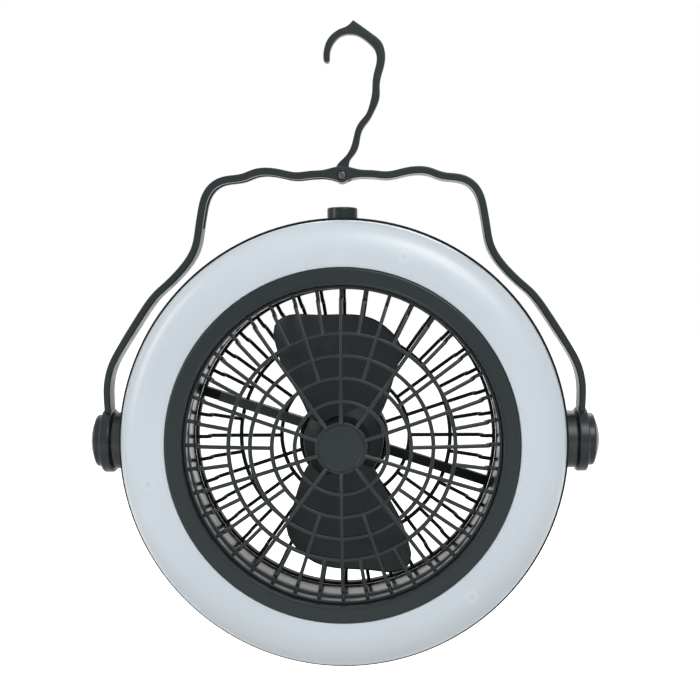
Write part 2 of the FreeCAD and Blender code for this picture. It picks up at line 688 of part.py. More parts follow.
def motor_armature():
    """Slotted rotor core with its coils and commutator, fixed on the shaft."""
    core_r = MOTOR_R - MOTOR_WALL - SEAT - MAGNET_T - AIR_GAP
    start = MOTOR_FRONT_Y + 4
    end = start + ARMATURE_L
    core = disc(core_r, start, end)
    slots = []
    for index in range(5):
        slots.append(at_angle(block(-0.7, 0.7, start - 1, end + 1, core_r * 0.45, core_r + 1), 72 * index))
    core = core.cut(slots)
    commutator = disc(BUSH_R, end - 0.5, REAR_DISC_IN_Y - SEAT - BUSH_L - GLIDE)
    return joined([core, commutator]).cut(disc(SHAFT_R, start - 1, end + 3))


def motor_shaft():
    """Steel shaft that carries the impeller."""
    return disc(SHAFT_R, HUB_FRONT_Y - NUT_T, REAR_DISC_IN_Y - 0.5)


def motor_screws():
    """Two sunk screws from the back of the rear guard into the motor's end cap."""
    screws = []
    for side in (-1, 1):
        x = side * MOTOR_SCREW_X
        head = rod_y(2 * MOTOR_SCREW_R, x, 0, REAR_GUARD_Y - MOTOR_HEAD_T, REAR_GUARD_Y - 3 * SEAT)
        shank = rod_y(MOTOR_SCREW_R - SEAT / 2, x, 0, REAR_DISC_IN_Y - 2.0, REAR_GUARD_Y - MOTOR_HEAD_T / 2)
        screws.append(joined([head, shank]))
    return group(screws)


def spline_edge(points):
    """Smooth edge through flat (x, z) points."""
    curve = Part.BSplineCurve()
    curve.interpolate([Vector(x, 0, z) for x, z in points])
    return curve.toShape()


def line_edge(start, end):
    """Straight edge between two flat (x, z) points."""
    return Part.LineSegment(Vector(start[0], 0, start[1]), Vector(end[0], 0, end[1])).toShape()


def blade_outline():
    """Prism over the outline of the upper blade, as deep as the hub."""
    stretch = BLADE_TIP_R / max(math.hypot(x, z) for x, z in BLADE_TIP)
    left, tip, right = [
        [(x * stretch, z * stretch) for x, z in line] for line in (BLADE_LEFT, BLADE_TIP, BLADE_RIGHT)
    ]
    wire = Part.Wire([
        spline_edge(left), spline_edge([left[-1]] + tip + [right[0]]), spline_edge(right),
        line_edge(right[-1], left[0]),
    ])
    face = Part.Face(wire)
    face.translate(Vector(0, BLADE_MID_Y - HUB_L, 0))
    return face.extrude(Vector(0, 2 * HUB_L, 0))


def twisted_plate():
    """Thin plate whose pitch falls from the hub to the tip, wider than the blade."""
    sections = []
    half_chord = BLADE_TIP_R * 0.65
    start_r = HUB_R * 0.4
    end_r = BLADE_TIP_R * 1.08
    steps = 4
    for step in range(steps + 1):
        share = step / steps
        radius = start_r + share * (end_r - start_r)
        pitch = math.radians(BLADE_ROOT_PITCH + share * (BLADE_TIP_PITCH - BLADE_ROOT_PITCH))
        along = Vector(math.cos(pitch), math.sin(pitch), 0)
        across = Vector(-math.sin(pitch), math.cos(pitch), 0)
        centre = Vector(0, BLADE_MID_Y, radius)
        corners = []
        for u, v in ((-1, -1), (1, -1), (1, 1), (-1, 1)):
            corners.append(centre + along * (u * half_chord) + across * (v * BLADE_T / 2))
        corners.append(corners[0])
        sections.append(Part.makePolygon(corners))
    return Part.makeLoft(sections, True, False)


def fan_blade():
    """Impeller moulding: a hollow hub with two wide twisted blades."""
    hub = turned([
        (SHAFT_R, HUB_FRONT_Y), (HUB_R - HUB_ROUND, HUB_FRONT_Y),
        quarter((HUB_R - HUB_ROUND, HUB_FRONT_Y + HUB_ROUND), HUB_ROUND, -90, 0),
        (HUB_R, HUB_BACK_Y), (HUB_R - HUB_WALL, HUB_BACK_Y),
        (HUB_R - HUB_WALL, HUB_FRONT_Y + HUB_ROUND),
        quarter((HUB_R - HUB_ROUND, HUB_FRONT_Y + HUB_ROUND), HUB_ROUND - HUB_WALL, 0, -90),
        (BUSH_R + 2, HUB_FRONT_Y + HUB_WALL), (BUSH_R + 2, HUB_BACK_Y - 3), (SHAFT_R, HUB_BACK_Y - 3),
    ])
    blade = blade_outline().common(twisted_plate())
    blade = blade.cut(disc(HUB_R - HUB_WALL / 2, HUB_FRONT_Y - 20, HUB_BACK_Y + 20))
    return joined([hub, blade, at_angle(blade, 180)])


def blade_nut():
    """Hexagonal nut that holds the impeller on the shaft."""
    corner = NUT_ACROSS / math.sqrt(3)
    points = []
    for index in range(7):
        x, z = polar(corner, 60 * index)
        points.append(Vector(x, HUB_FRONT_Y - NUT_T, z))
    prism = Part.Face(Part.makePolygon(points)).extrude(Vector(0, NUT_T, 0))
    return prism.cut(disc(SHAFT_R, HUB_FRONT_Y - NUT_T - 1, HUB_FRONT_Y + 1))


def cell_axis_bar(radius, length):
    """Bar across the top of the fan where a battery cell lies."""
    return Part.makeCylinder(radius, length, Vector(-length / 2, CELL_Y, CELL_LINE_R), Vector(1, 0, 0))


def battery_cells():
    """Two round cells low in the body, each with its raised contact."""
    cells = []
    for angle in CELL_ANGLES:
        barrel = cell_axis_bar(CELL_R, CELL_L)
        start = Vector(CELL_L / 2, CELL_Y, CELL_LINE_R)
        tip = Part.makeCylinder(CELL_R * 0.3, CELL_TIP, start, Vector(1, 0, 0))
        cells.append(at_angle(joined([barrel, tip]), angle))
    return group(cells)


def battery_cradles():
    """Two half-round cradles on the back of the web, one under each cell."""
    cradles = []
    for angle in CELL_ANGLES:
        half = CELL_L / 2 - CRADLE_INSET
        base = block(-half, half, WEB_BACK_Y, CELL_Y, CELL_LINE_R - CELL_R, CELL_LINE_R + CELL_R)
        base = base.cut(cell_axis_bar(CELL_R + SEAT, CELL_L))
        base = at_angle(base, angle)
        for post in POST_ANGLES:
            x, z = polar(POST_CIRCLE_R, post)
            base = base.cut(rod_y(CASE_HEAD_R + 5 * SEAT, x, z, WEB_BACK_Y - 1, CELL_Y))
        cradles.append(base)
    return group(cradles)


def rotary_switch():
    """Dimmer and switch under the knob: body, collar against the wall and threaded bush."""
    collar_top = math.sqrt(BODY_IN_R ** 2 - DIAL_COLLAR_R ** 2) - SEAT
    body = rod_z(DIAL_R, DIAL_BASE_Z, DIAL_TOP_Z)
    collar = rod_z(DIAL_COLLAR_R, DIAL_TOP_Z - 0.5, collar_top)
    bush = rod_z(DIAL_BUSH_R, DIAL_TOP_Z - 0.5, BODY_R - SEAT)
    bore = rod_z(KNOB_SHAFT_R + PIN_FIT, DIAL_BORE_Z, BODY_R + 1)
    return joined([body, collar, bush]).cut(bore)


def control_board():
    """Circuit board under the switch, with its charging parts."""
    half = BOARD_X / 2
    back = REAR_Y - 1.5 * WALL
    board = block(-half, half, WEB_BACK_Y + BOARD_GAP, back, DIAL_BASE_Z - BOARD_T, DIAL_BASE_Z)
    part_x = (half + DIAL_R) / 2
    chip = block(-part_x - 3, -part_x + 3, -3, 3, DIAL_BASE_Z - BOARD_T / 2, DIAL_BASE_Z + BOARD_T)
    foot = Vector(part_x, 2, DIAL_BASE_Z - BOARD_T / 2)
    coil = Part.makeCylinder(3.5, 4.0, foot, Vector(0, 0, 1))
    return joined([board, chip, coil])


def usb_socket():
    """Charging socket: a metal sleeve, open to the back, with a contact tongue inside."""
    half = SOCKET_W / 2
    mouth = REAR_Y - SOCKET_INSET
    wall = SOCKET_WALL
    base = DIAL_BASE_Z
    sleeve = block(-half, half, mouth - SOCKET_L, mouth, base, base + SOCKET_H)
    room = block(wall - half, half - wall, mouth - SOCKET_L + 1.5, mouth + 1, base + wall, base + SOCKET_H - wall)
    middle = base + SOCKET_H / 2
    tongue = block(1.5 - half, half - 1.5, mouth - SOCKET_L + 1, mouth - 1, middle - 0.35, middle + 0.35)
    return joined([sleeve.cut(room), tongue])


def housing_screws():
    """Four screws that close the body from the back."""
    screws = []
    for angle in CASE_SCREW_ANGLES:
        x, z = polar(CASE_SCREW_CIRCLE_R, angle)
        head_back = CASE_HEAD_Y + CASE_HEAD_T
        head = rod_y(CASE_HEAD_R, x, z, CASE_HEAD_Y, head_back)
        shank = rod_y(CASE_SCREW_R - SEAT / 2, x, z, WEB_BACK_Y + 1, CASE_HEAD_Y + CASE_HEAD_T / 2)
        drive = rod_y(CASE_HEAD_R * 0.35, x, z, head_back - CASE_HEAD_T * 0.45, head_back + 1)
        screws.append(joined([head, shank]).cut(drive))
    return group(screws)


def pivot_boss():
    """Round boss at the right, trapped in the shells by a square flange."""
    boss = rod_x(BOSS_R, BOSS_IN_X, BOSS_X)
    flange_x = math.sqrt(BODY_IN_R ** 2 - BOSS_FLANGE ** 2) - SEAT
    flange = block(BOSS_IN_X, flange_x, WEB_BACK_Y + 2 * SEAT, REAR_Y - REAR_EDGE_R,
                   -BOSS_FLANGE, BOSS_FLANGE)
    bore = rod_x(PIVOT_THREAD_R + SEAT / 2, BOSS_IN_X + 2, BOSS_X + 1)
    return joined([boss, flange]).cut(bore)


def pivot_washer():
    """Friction washer between the right boss and the handle."""
    return rod_x(WASHER_R, BOSS_X, BOSS_X + WASHER_T).cut(rod_x(PIVOT_R + SEAT, BOSS_X - 1, BOSS_X + 2))


def pivot_screw():
    """Shoulder screw that the right side of the handle turns on."""
    shoulder_end = HANDLE_OUT_X + GLIDE
    thread = rod_x(PIVOT_THREAD_R, BOSS_IN_X + 3, BOSS_X + 0.5)
    shoulder = rod_x(PIVOT_R, BOSS_X, shoulder_end + 0.5)
    head = rod_x(PIVOT_HEAD_R, shoulder_end, shoulder_end + PIVOT_HEAD_T)
    return joined([thread, shoulder, head])


def pivot_cap():
    """Domed cap over the right pivot, hollow for the screw's head."""
    base = HANDLE_OUT_X
    top = base + CAP_H
    edge = 1.0
    flank = base + CAP_FLANK
    rim_r = CAP_R - 0.6 * edge
    rise = top - flank
    ball = (rim_r ** 2 + rise ** 2) / (2 * rise)
    half_turn = math.asin(rim_r / ball) / 2
    middle = (top - ball + ball * math.cos(half_turn), ball * math.sin(half_turn))
    return turned_on_x([
        (base, CAP_CAVITY_R), (base, CAP_R), (flank - edge, CAP_R),
        ((flank - 0.3 * edge, CAP_R - 0.15 * edge), (flank, rim_r)), (middle, (top, 0)),
        (top - CAP_SKIN, 0), (top - CAP_SKIN, CAP_CAVITY_R),
    ])


def offset_points(curve, points, distances):
    """Points at a distance to the right of a curve's direction, next to each given point on it."""
    moved = []
    for point, distance in zip(points, distances):
        tangent = curve.tangent(curve.parameter(point))[0]
        normal = Vector(tangent.z, 0, -tangent.x)
        moved.append(point + normal * distance)
    return moved


def strap_thickness(x, z):
    """Thickness of the strap: thinner by the pivots, and thicker in the lobe that holds the hook."""
    foot = max(0.0, min(1.0, 1.0 - z / STRAP_FOOT_L))
    plain = STRAP_T + foot * (STRAP_FOOT_T - STRAP_T)
    if abs(x) >= LOBE_HALF_W:
        return plain
    return plain + LOBE_DEPTH * math.cos(math.pi * x / (2 * LOBE_HALF_W)) ** 2


def handle():
    """U-shaped handle: waved strap with a lobe in the middle, slot for the hook and two round hubs."""
    wider = (HANDLE_OUT_X - STRAP_INSET) / STRAP_LINE[0][0]
    taller = STRAP_TOP / STRAP_LINE[-1][1]
    right = [Vector(x * wider, 0, z * taller) for x, z in STRAP_LINE]
    left = [Vector(-point.x, 0, point.z) for point in right[:-1]]
    outer_points = left + right[::-1]
    outer = Part.BSplineCurve()
    outer.interpolate(outer_points)
    depths = [strap_thickness(point.x, point.z) for point in outer_points]
    inner_points = offset_points(outer, outer_points, depths)
    inner = Part.BSplineCurve()
    inner.interpolate(inner_points)
    edges = [outer.toShape()]
    past_pivot = Vector(0, 0, -HANDLE_HUB_R / 4)
    for from_point, to_point in ((outer_points[-1], inner_points[-1]), (inner_points[0], outer_points[0])):
        foot = [from_point, from_point + past_pivot, to_point + past_pivot, to_point]
        edges += [Part.LineSegment(a, b).toShape() for a, b in zip(foot[:-1], foot[1:])]
        if len(edges) == 4:
            edges.append(inner.toShape())
    face = Part.Face(Part.Wire(edges))
    face.translate(Vector(0, -STRAP_W / 2, 0))
    strap = face.extrude(Vector(0, STRAP_W, 0))
    soft = HANDLE_HUB_ROUND
    edge = HANDLE_HUB_EDGE
    hub = turned_on_x([
        (HANDLE_IN_X, 0), (HANDLE_IN_X, HANDLE_HUB_R - soft),
        quarter((HANDLE_IN_X + soft, HANDLE_HUB_R - soft), soft, 180, 90),
        (HANDLE_OUT_X - edge, HANDLE_HUB_R),
        quarter((HANDLE_OUT_X - edge, HANDLE_HUB_R - edge), edge, 90, 0), (HANDLE_OUT_X, 0),
    ])
    bore = rod_x(PIVOT_R + PIN_FIT, HANDLE_IN_X - 1, HANDLE_OUT_X + 1)
    slot_half = HOOK_T / 2 + GLIDE
    slot = block(-HANDLE_OUT_X, HOOK_EYE_R + GLIDE, -slot_half, slot_half, HOOK_SLOT_FOOT_Z, STRAP_TOP + 5)
    screw = rod_y(HOOK_SCREW_R + SEAT / 2, 0, HOOK_PIVOT_Z, -STRAP_W, STRAP_W)
    recess = rod_y(HOOK_HEAD_R + SEAT, 0, HOOK_PIVOT_Z, -STRAP_W / 2 - 1, HOOK_HEAD_T - STRAP_W / 2)
    whole = joined([strap, hub, mirrored(hub)])
    return whole.cut([bore, mirrored(bore), slot, screw, recess])


def hook_screw():
    """Screw across the handle's lobe that the hook turns on."""
    front = -STRAP_W / 2 + 0.2
    head = rod_y(HOOK_HEAD_R, 0, HOOK_PIVOT_Z, front, HOOK_HEAD_T - STRAP_W / 2)
    shank = rod_y(HOOK_SCREW_R, 0, HOOK_PIVOT_Z, front + 0.5, STRAP_W / 2 - 0.3)
    slot = block(-HOOK_HEAD_R, HOOK_HEAD_R, front - 1, front + 0.6, HOOK_PIVOT_Z - 0.3, HOOK_PIVOT_Z + 0.3)
    slot.rotate(Vector(0, 0, HOOK_PIVOT_Z), Vector(0, 1, 0), 50)
    return joined([head, shank]).cut(slot)


def hook():
    """Flat waved hook with an eye at its foot, a pointed crest and a rounded tip."""
    tip = Part.Arc(*[Vector(x, 0, z) for x, z in HOOK_TIP]).toShape()
    base = line_edge(HOOK_INNER[-1], HOOK_OUTER[0])
    wire = Part.Wire([spline_edge(HOOK_OUTER), spline_edge(HOOK_CREST), tip, spline_edge(HOOK_INNER), base])
    face = Part.Face(wire)
    face.translate(Vector(0, -HOOK_T / 2, HOOK_PIVOT_Z))
    blade = face.extrude(Vector(0, HOOK_T, 0))
    eye = rod_y(HOOK_EYE_R, 0, HOOK_PIVOT_Z, -HOOK_T / 2, HOOK_T / 2)
    bore = rod_y(HOOK_SCREW_R + PIN_FIT, 0, HOOK_PIVOT_Z, -HOOK_T, HOOK_T)
    return joined([blade, eye]).cut(bore)


def control_knob():
    """Smooth round knob on top of the body."""
    top = KNOB_BASE_Z + KNOB_H
    side_z = top - KNOB_ROUND
    path = [
        (0, KNOB_BASE_Z), (KNOB_R, KNOB_BASE_Z), (KNOB_R, side_z),
        quarter((KNOB_R - KNOB_ROUND, side_z), KNOB_ROUND, 0, 90), (0, top),
    ]
    wire = wire_of(lift(path, lambda r, z: (r, 0.0, z)))
    body = Part.Face(wire).revolve(Vector(0, 0, 0), Vector(0, 0, 1), 360)
    return body.cut(rod_z(KNOB_SHAFT_R, KNOB_BASE_Z - 1, top - KNOB_SKIN))


def knob_shaft():
    """Shaft between the knob and the switch."""
    return rod_z(KNOB_SHAFT_R, DIAL_BORE_Z + GLIDE, KNOB_BASE_Z + KNOB_H - KNOB_SKIN)


def save(name, shape):
    """Move a piece so that the hook's saddle is the origin, check it and write it."""
    moved = shape.copy()
    moved.translate(Vector(0, 0, -SADDLE_Z))
    if not moved.isValid():
        raise ValueError(name + " is not a valid shape")
    moved.exportStep("parts/" + name + ".step")
    print("%-20s solids %2d  volume %9.1f mm3" % (name, len(moved.Solids), moved.Volume))


def main():
    os.makedirs("parts", exist_ok=True)
    front_bush, rear_bush = motor_bushes()
    pieces = {
        "front_shell": front_shell(),
        "rear_shell": rear_shell(),
        "front_bezel": front_bezel(),
        "front_grille": front_grille(),
        "rear_grille": rear_grille(),
        "wire_channel_cover": wire_channel_cover(),
        "light_diffuser": light_diffuser(),
        "diffuser_screws": diffuser_screws(),
        "led_board": led_board(),
        "led_chips": led_chips(),
        "motor_can": motor_can(),
        "motor_end_cap": motor_end_cap(),
        "motor_magnets": motor_magnets(),
        "motor_bush_front": front_bush,
        "motor_bush_rear": rear_bush,
        "motor_screws": motor_screws(),
        "motor_armature": motor_armature(),
        "motor_shaft": motor_shaft(),
        "fan_blade": fan_blade(),
        "blade_nut": blade_nut(),
        "battery_cells": battery_cells(),
        "battery_cradles": battery_cradles(),
        "rotary_switch": rotary_switch(),
        "control_board": control_board(),
        "usb_socket": usb_socket(),
        "housing_screws": housing_screws(),
        "pivot_boss_right": pivot_boss(),
        "pivot_boss_left": mirrored(pivot_boss()),
        "pivot_washers": group([pivot_washer(), mirrored(pivot_washer())]),
        "pivot_screws": group([pivot_screw(), mirrored(pivot_screw())]),
        "pivot_cap_right": pivot_cap(),
        "pivot_cap_left": mirrored(pivot_cap()),
        "handle": handle(),
        "hook_screw": hook_screw(),
        "hook": hook(),
        "control_knob": control_knob(),
        "knob_shaft": knob_shaft(),
    }
    for name, shape in pieces.items():
        save(name, shape)


main()
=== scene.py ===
import bmesh
import bpy
import json
import math
import numpy as np
from collections import namedtuple
from bpy.props import FloatProperty, FloatVectorProperty, PointerProperty
from bpy.types import Operator, Panel, PropertyGroup
from mathutils import Matrix, Vector


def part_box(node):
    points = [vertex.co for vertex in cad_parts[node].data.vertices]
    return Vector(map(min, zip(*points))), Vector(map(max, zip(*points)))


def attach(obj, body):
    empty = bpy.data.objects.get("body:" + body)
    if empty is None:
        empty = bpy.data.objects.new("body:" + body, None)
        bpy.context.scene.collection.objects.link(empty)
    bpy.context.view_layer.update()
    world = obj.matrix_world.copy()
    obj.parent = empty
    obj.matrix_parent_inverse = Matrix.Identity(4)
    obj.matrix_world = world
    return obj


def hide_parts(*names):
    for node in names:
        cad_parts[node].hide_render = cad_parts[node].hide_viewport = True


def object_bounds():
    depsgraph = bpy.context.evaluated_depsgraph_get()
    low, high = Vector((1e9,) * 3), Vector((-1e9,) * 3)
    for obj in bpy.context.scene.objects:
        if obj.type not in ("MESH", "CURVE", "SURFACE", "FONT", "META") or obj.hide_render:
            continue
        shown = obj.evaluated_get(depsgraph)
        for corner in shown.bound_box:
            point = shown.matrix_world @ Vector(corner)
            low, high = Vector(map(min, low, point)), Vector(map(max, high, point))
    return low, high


bl_info = {
    "name": "Camping Fan",
    "version": (1, 0, 0),
    "blender": (4, 5, 0),
    "location": "3D View > Sidebar > Camping Fan",
    "description": "Models and finishes a hanging camping fan with a ring light",
    "category": "Object",
}

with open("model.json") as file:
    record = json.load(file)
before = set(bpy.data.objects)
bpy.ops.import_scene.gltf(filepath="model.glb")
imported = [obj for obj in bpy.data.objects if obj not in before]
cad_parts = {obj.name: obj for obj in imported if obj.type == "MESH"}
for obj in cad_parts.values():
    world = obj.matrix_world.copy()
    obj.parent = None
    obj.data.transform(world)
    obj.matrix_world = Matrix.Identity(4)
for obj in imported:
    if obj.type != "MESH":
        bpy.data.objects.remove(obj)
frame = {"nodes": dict(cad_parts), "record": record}  # nodes and record
cad_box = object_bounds()

MM = 0.001

# Places that the frame gives, in metres from the fan's axis, which lies along Y
BEZEL_LOW, BEZEL_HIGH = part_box("front_bezel")
FRONT_LOW, FRONT_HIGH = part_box("front_grille")
REAR_LOW, REAR_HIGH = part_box("rear_grille")
LIGHT_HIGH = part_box("light_diffuser")[1]
NUT_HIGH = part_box("blade_nut")[1]
HANDLE_LOW, HANDLE_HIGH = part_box("handle")
HOOK_LOW, HOOK_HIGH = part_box("hook")
SCREW_LOW, SCREW_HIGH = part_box("hook_screw")
KNOB_LOW, KNOB_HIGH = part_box("control_knob")
CAP_LOW, CAP_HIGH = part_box("pivot_cap_right")
DUCT_FRONT_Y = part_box("front_shell")[0].y
PARTING_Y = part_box("rear_shell")[0].y

AXIS_Z = (BEZEL_LOW.z + BEZEL_HIGH.z) / 2
BEZEL_R = BEZEL_HIGH.x
SEAT_R = FRONT_HIGH.x
DUCT_R = SEAT_R + 0.1 * MM
STRAP_TOP = HANDLE_HIGH.z - AXIS_Z
HOOK_PIVOT_Z = (SCREW_LOW.z + SCREW_HIGH.z) / 2 - AXIS_Z
HOOK_BORE_R = 1.55 * MM
LIGHT_IN_R = BEZEL_R + 0.2 * MM
POST_CIRCLE_R = (LIGHT_IN_R + LIGHT_HIGH.x) / 2 - 2.0 * MM

RIBS = 40
GUARD_RINGS = (22.2 * MM, 33.2 * MM, 43.8 * MM, 54.4 * MM)
STRUT_ANGLES = (108.0, 288.0)
POST_ANGLES = (18.4, 139.5, 259.0)

# Steps round a turned surface, and the turn between two faces past which their edge stays sharp
ROUND_STEPS = 144
RING_STEPS = 192
SHARP_DEGREES = 38.0

# Outlines in millimetres, across and up from the fan's axis or the hook's pivot
STRAP_LINE = (
    (119.6, 0.0), (120.2, 16.0), (120.5, 26.6), (118.0, 38.5), (113.7, 46.8), (108.0, 56.0),
    (101.5, 66.0), (94.5, 75.0), (89.6, 79.4), (84.0, 84.8), (79.0, 90.7), (75.3, 97.4),
    (73.5, 106.0), (72.0, 115.0), (70.1, 122.3), (67.0, 127.4), (61.7, 131.2), (56.4, 132.5),
    (49.8, 133.4), (44.0, 135.5), (38.0, 136.3), (29.2, 135.1), (23.0, 133.9), (15.4, 134.5),
    (8.5, 135.0), (3.6, 136.2), (0.0, 136.5),
)
HOOK_BACK = (
    (3.9, 1.9), (3.9, 7.5), (6.1, 10.4), (8.4, 14.9), (9.4, 20.0), (10.6, 23.2),
    (13.9, 27.7), (16.4, 32.2), (18.4, 36.7), (19.1, 40.6), (19.1, 45.0), (19.9, 49.5),
    (21.2, 54.0), (21.9, 58.5), (21.5, 62.4), (19.9, 66.2), (16.4, 69.4), (11.3, 73.2), (6.1, 76.9),
)
HOOK_CREST = (
    (6.1, 76.9), (2.6, 73.8), (-0.2, 72.8), (-3.5, 70.9), (-6.7, 67.5), (-8.3, 63.6),
    (-8.9, 59.2), (-8.8, 57.7),
)
HOOK_RISE = (
    (-3.9, 1.9), (-2.4, 5.5), (1.7, 9.7), (4.2, 13.6), (5.5, 17.5), (6.8, 22.6), (8.7, 26.4),
    (12.0, 30.3), (13.9, 35.1), (15.2, 40.9), (15.5, 46.3), (16.4, 51.5), (17.5, 55.9),
    (17.6, 58.9), (16.8, 62.0), (14.5, 64.9), (10.6, 68.1), (7.4, 69.7), (5.5, 70.05),
)
HOOK_EYE_SIDE = (
    (5.5, 70.05), (3.6, 70.1), (-0.2, 69.1), (-3.4, 66.2), (-5.4, 61.9), (-5.7, 57.7),
)
BLADE_LEFT = ((-8.6, 9.9), (-15.5, 12.5), (-18.2, 17.6), (-29.1, 38.7), (-33.2, 53.2))
BLADE_TIP = (
    (-33.2, 53.2), (-32.0, 59.5), (-28.6, 62.3), (-14.0, 63.3), (0.0, 63.4), (16.0, 60.6),
    (23.6, 55.0), (28.1, 49.3), (29.5, 43.8),
)
BLADE_RIGHT = ((12.0, 6.2), (17.0, 11.0), (21.9, 20.4), (25.9, 32.9), (29.5, 43.8))

# The blade's farthest point and its rough extents, which turn the rim's inset into a share
BLADE_TIP_R = 68.55 * MM
BLADE_WIDE = 55.0 * MM
BLADE_TALL = 42.0 * MM

# The blade's pitch in degrees: where it starts, and how far it falls over a span outwards
ROOT_PITCH = 24.0
PITCH_FALL = 10.0
PITCH_FROM = 8.0 * MM
PITCH_SPAN = 66.0 * MM

# The bell of the impeller's hub, in shares of its radius and of its depth
HUB_NECK = 0.36
HUB_SHOULDER = 0.64
HUB_SHOULDER_DEPTH = 0.44
HUB_BRIM_DEPTH = 0.7


def length(name, description, millimetres):
    """Property for a length, shown in the scene's units."""
    return FloatProperty(
        name=name, description=description, default=millimetres * MM, min=0.0, precision=4,
        unit="LENGTH", subtype="DISTANCE")


def colour(name, description, red, green, blue):
    """Property for a linear colour."""
    return FloatVectorProperty(
        name=name, description=description, default=(red, green, blue), size=3,
        min=0.0, max=1.0, subtype="COLOR")


class FanSizes(PropertyGroup):
    """Sizes of the modelled pieces"""

    rib_width: length("Rib width", "Width of a guard's rib", 1.8)
    rib_depth: length("Rib depth", "Depth of a guard's rib", 2.4)
    rib_round: length("Rib edge", "Radius of a rib's edges", 0.55)
    ring_width: length("Ring width", "Width of a guard's ring", 1.9)
    ring_sink: length("Ring sink", "How far the rings lie behind the ribs", 0.25)
    guard_sink: length("Guard sink", "How far the bend of the front guard lies behind the bezel", 0.8)
    bend_gap: length("Bend gap", "From the duct's wall to where the ribs bend back", 6.9)
    crank: length("Crank", "How far the ribs bend back", 5.8)
    bend_round: length("Bend radius", "Radius of the ribs' bends at their middle line", 1.7)
    hub_radius: length("Hub radius", "Radius of the step of the front guard's disc", 12.5)
    hub_face: length("Hub face", "Radius of the face of the front guard's disc", 10.9)
    cup_radius: length("Cup radius", "Outer radius of the motor's cup", 22.5)
    cup_wall: length("Cup wall", "Wall of the motor's cup", 1.8)
    strut_width: length("Strut width", "Width of the two thick struts", 5.0)
    strut_depth: length("Strut depth", "Depth of the two thick struts", 6.2)
    bead_height: length("Bead height", "Height of the bead round the bezel's opening", 0.5)
    bead_width: length("Bead width", "Width of the bead round the bezel's opening", 1.2)
    light_skin: length("Light skin", "Wall of the milky ring", 2.0)
    light_crown: length("Light crown", "Height of the milky ring's crown", 1.6)
    impeller_radius: length("Impeller hub", "Radius of the impeller's hub", 20.0)
    blade_thickness: length("Blade thickness", "Thickness of a blade", 1.6)
    strap_width: length("Strap width", "Width of the handle's strap", 12.0)
    strap_round: length("Strap edge", "Radius of the strap's edges", 0.7)
    hook_round: length("Hook edge", "Radius of the hook's edges", 0.8)
    knob_round: length("Knob edge", "Radius of the knob's upper edge", 0.9)


class FanColours(PropertyGroup):
    """Colours of the finishes"""

    body: colour("Body", "Satin plastic of the body, guards and handle", 0.0100, 0.0158, 0.0178)
    blade: colour("Blades", "Smooth plastic of the impeller", 0.0095, 0.0135, 0.0150)
    light: colour("Light", "Milky plastic of the ring light", 0.585, 0.645, 0.69)
    steel: colour("Steel", "Zinc plated steel", 0.62, 0.62, 0.63)
    bronze: colour("Bronze", "Sintered bronze of the bushes", 0.60, 0.42, 0.22)
    magnet: colour("Magnet", "Dark sintered magnet and rotor", 0.07, 0.07, 0.075)
    cell: colour("Cells", "Shrink wrap of the cells", 0.05, 0.15, 0.38)
    inner: colour("Inner plastic", "Plain plastic of the inner pieces", 0.60, 0.60, 0.58)
    board: colour("Green board", "Solder mask of the control board", 0.03, 0.20, 0.08)
    light_board: colour("White board", "Solder mask of the light's board", 0.82, 0.82, 0.80)
    diode: colour("Diodes", "Lens of the light's diodes", 0.80, 0.66, 0.18)
    floor: colour("Floor", "Pale floor", 0.86, 0.86, 0.86)


# Surfaces

Skin = namedtuple("Skin", "points rows_join columns_join")


def soften(corners, radii, closed=True, steps=4):
    """Outline through corners, each replaced by the circle arc of its radius that touches both its sides."""
    corners = np.array(corners, float)
    radii = np.broadcast_to(radii, len(corners))
    pieces = []
    for index, radius in enumerate(radii):
        here = corners[index]
        at_end = not closed and index in (0, len(corners) - 1)
        if radius <= 0 or at_end:
            pieces.append(here[None])
            continue
        last = corners[index - 1] - here
        last /= np.linalg.norm(last)
        following = corners[(index + 1) % len(corners)] - here
        following /= np.linalg.norm(following)
        half = math.acos(np.clip(last @ following, -1, 1)) / 2
        reach = radius / math.tan(half)
        middle = (last + following) / np.linalg.norm(last + following) * radius / math.sin(half)
        start = last * reach - middle
        end = following * reach - middle
        first = math.atan2(start[1], start[0])
        swing = (math.atan2(end[1], end[0]) - first + math.pi) % (2 * math.pi) - math.pi
        turn = first + swing * np.linspace(0, 1, steps + 1)
        pieces.append(here + middle + radius * np.column_stack((np.cos(turn), np.sin(turn))))
    return np.vstack(pieces)


def smooth(points, count):
    """Points on the smooth line through the given ones: a natural cubic in the length along their chords."""
    points = np.array(points, float) * MM
    steps = np.linalg.norm(np.diff(points, axis=0), axis=1)
    run = np.concatenate(([0.0], np.cumsum(steps)))
    inner = slice(1, -1)
    matrix = np.eye(len(points))
    rows = np.arange(1, len(points) - 1)
    matrix[rows, rows - 1] = steps[:-1]
    matrix[rows, rows] = 2 * (steps[:-1] + steps[1:])
    matrix[rows, rows + 1] = steps[1:]
    slopes = np.diff(points, axis=0) / steps[:, None]
    right = np.zeros_like(points)
    right[inner] = 6 * np.diff(slopes, axis=0)
    bend = np.linalg.solve(matrix, right)
    at = np.linspace(0, run[-1], count)
    cell = np.clip(np.searchsorted(run, at, side="right") - 1, 0, len(steps) - 1)
    step = steps[cell][:, None]
    past = (at - run[cell])[:, None]
    left = step - past
    curve = (bend[cell] * left ** 3 + bend[cell + 1] * past ** 3) / (6 * step)
    curve += (points[cell] / step - bend[cell] * step / 6) * left
    curve += (points[cell + 1] / step - bend[cell + 1] * step / 6) * past
    return curve


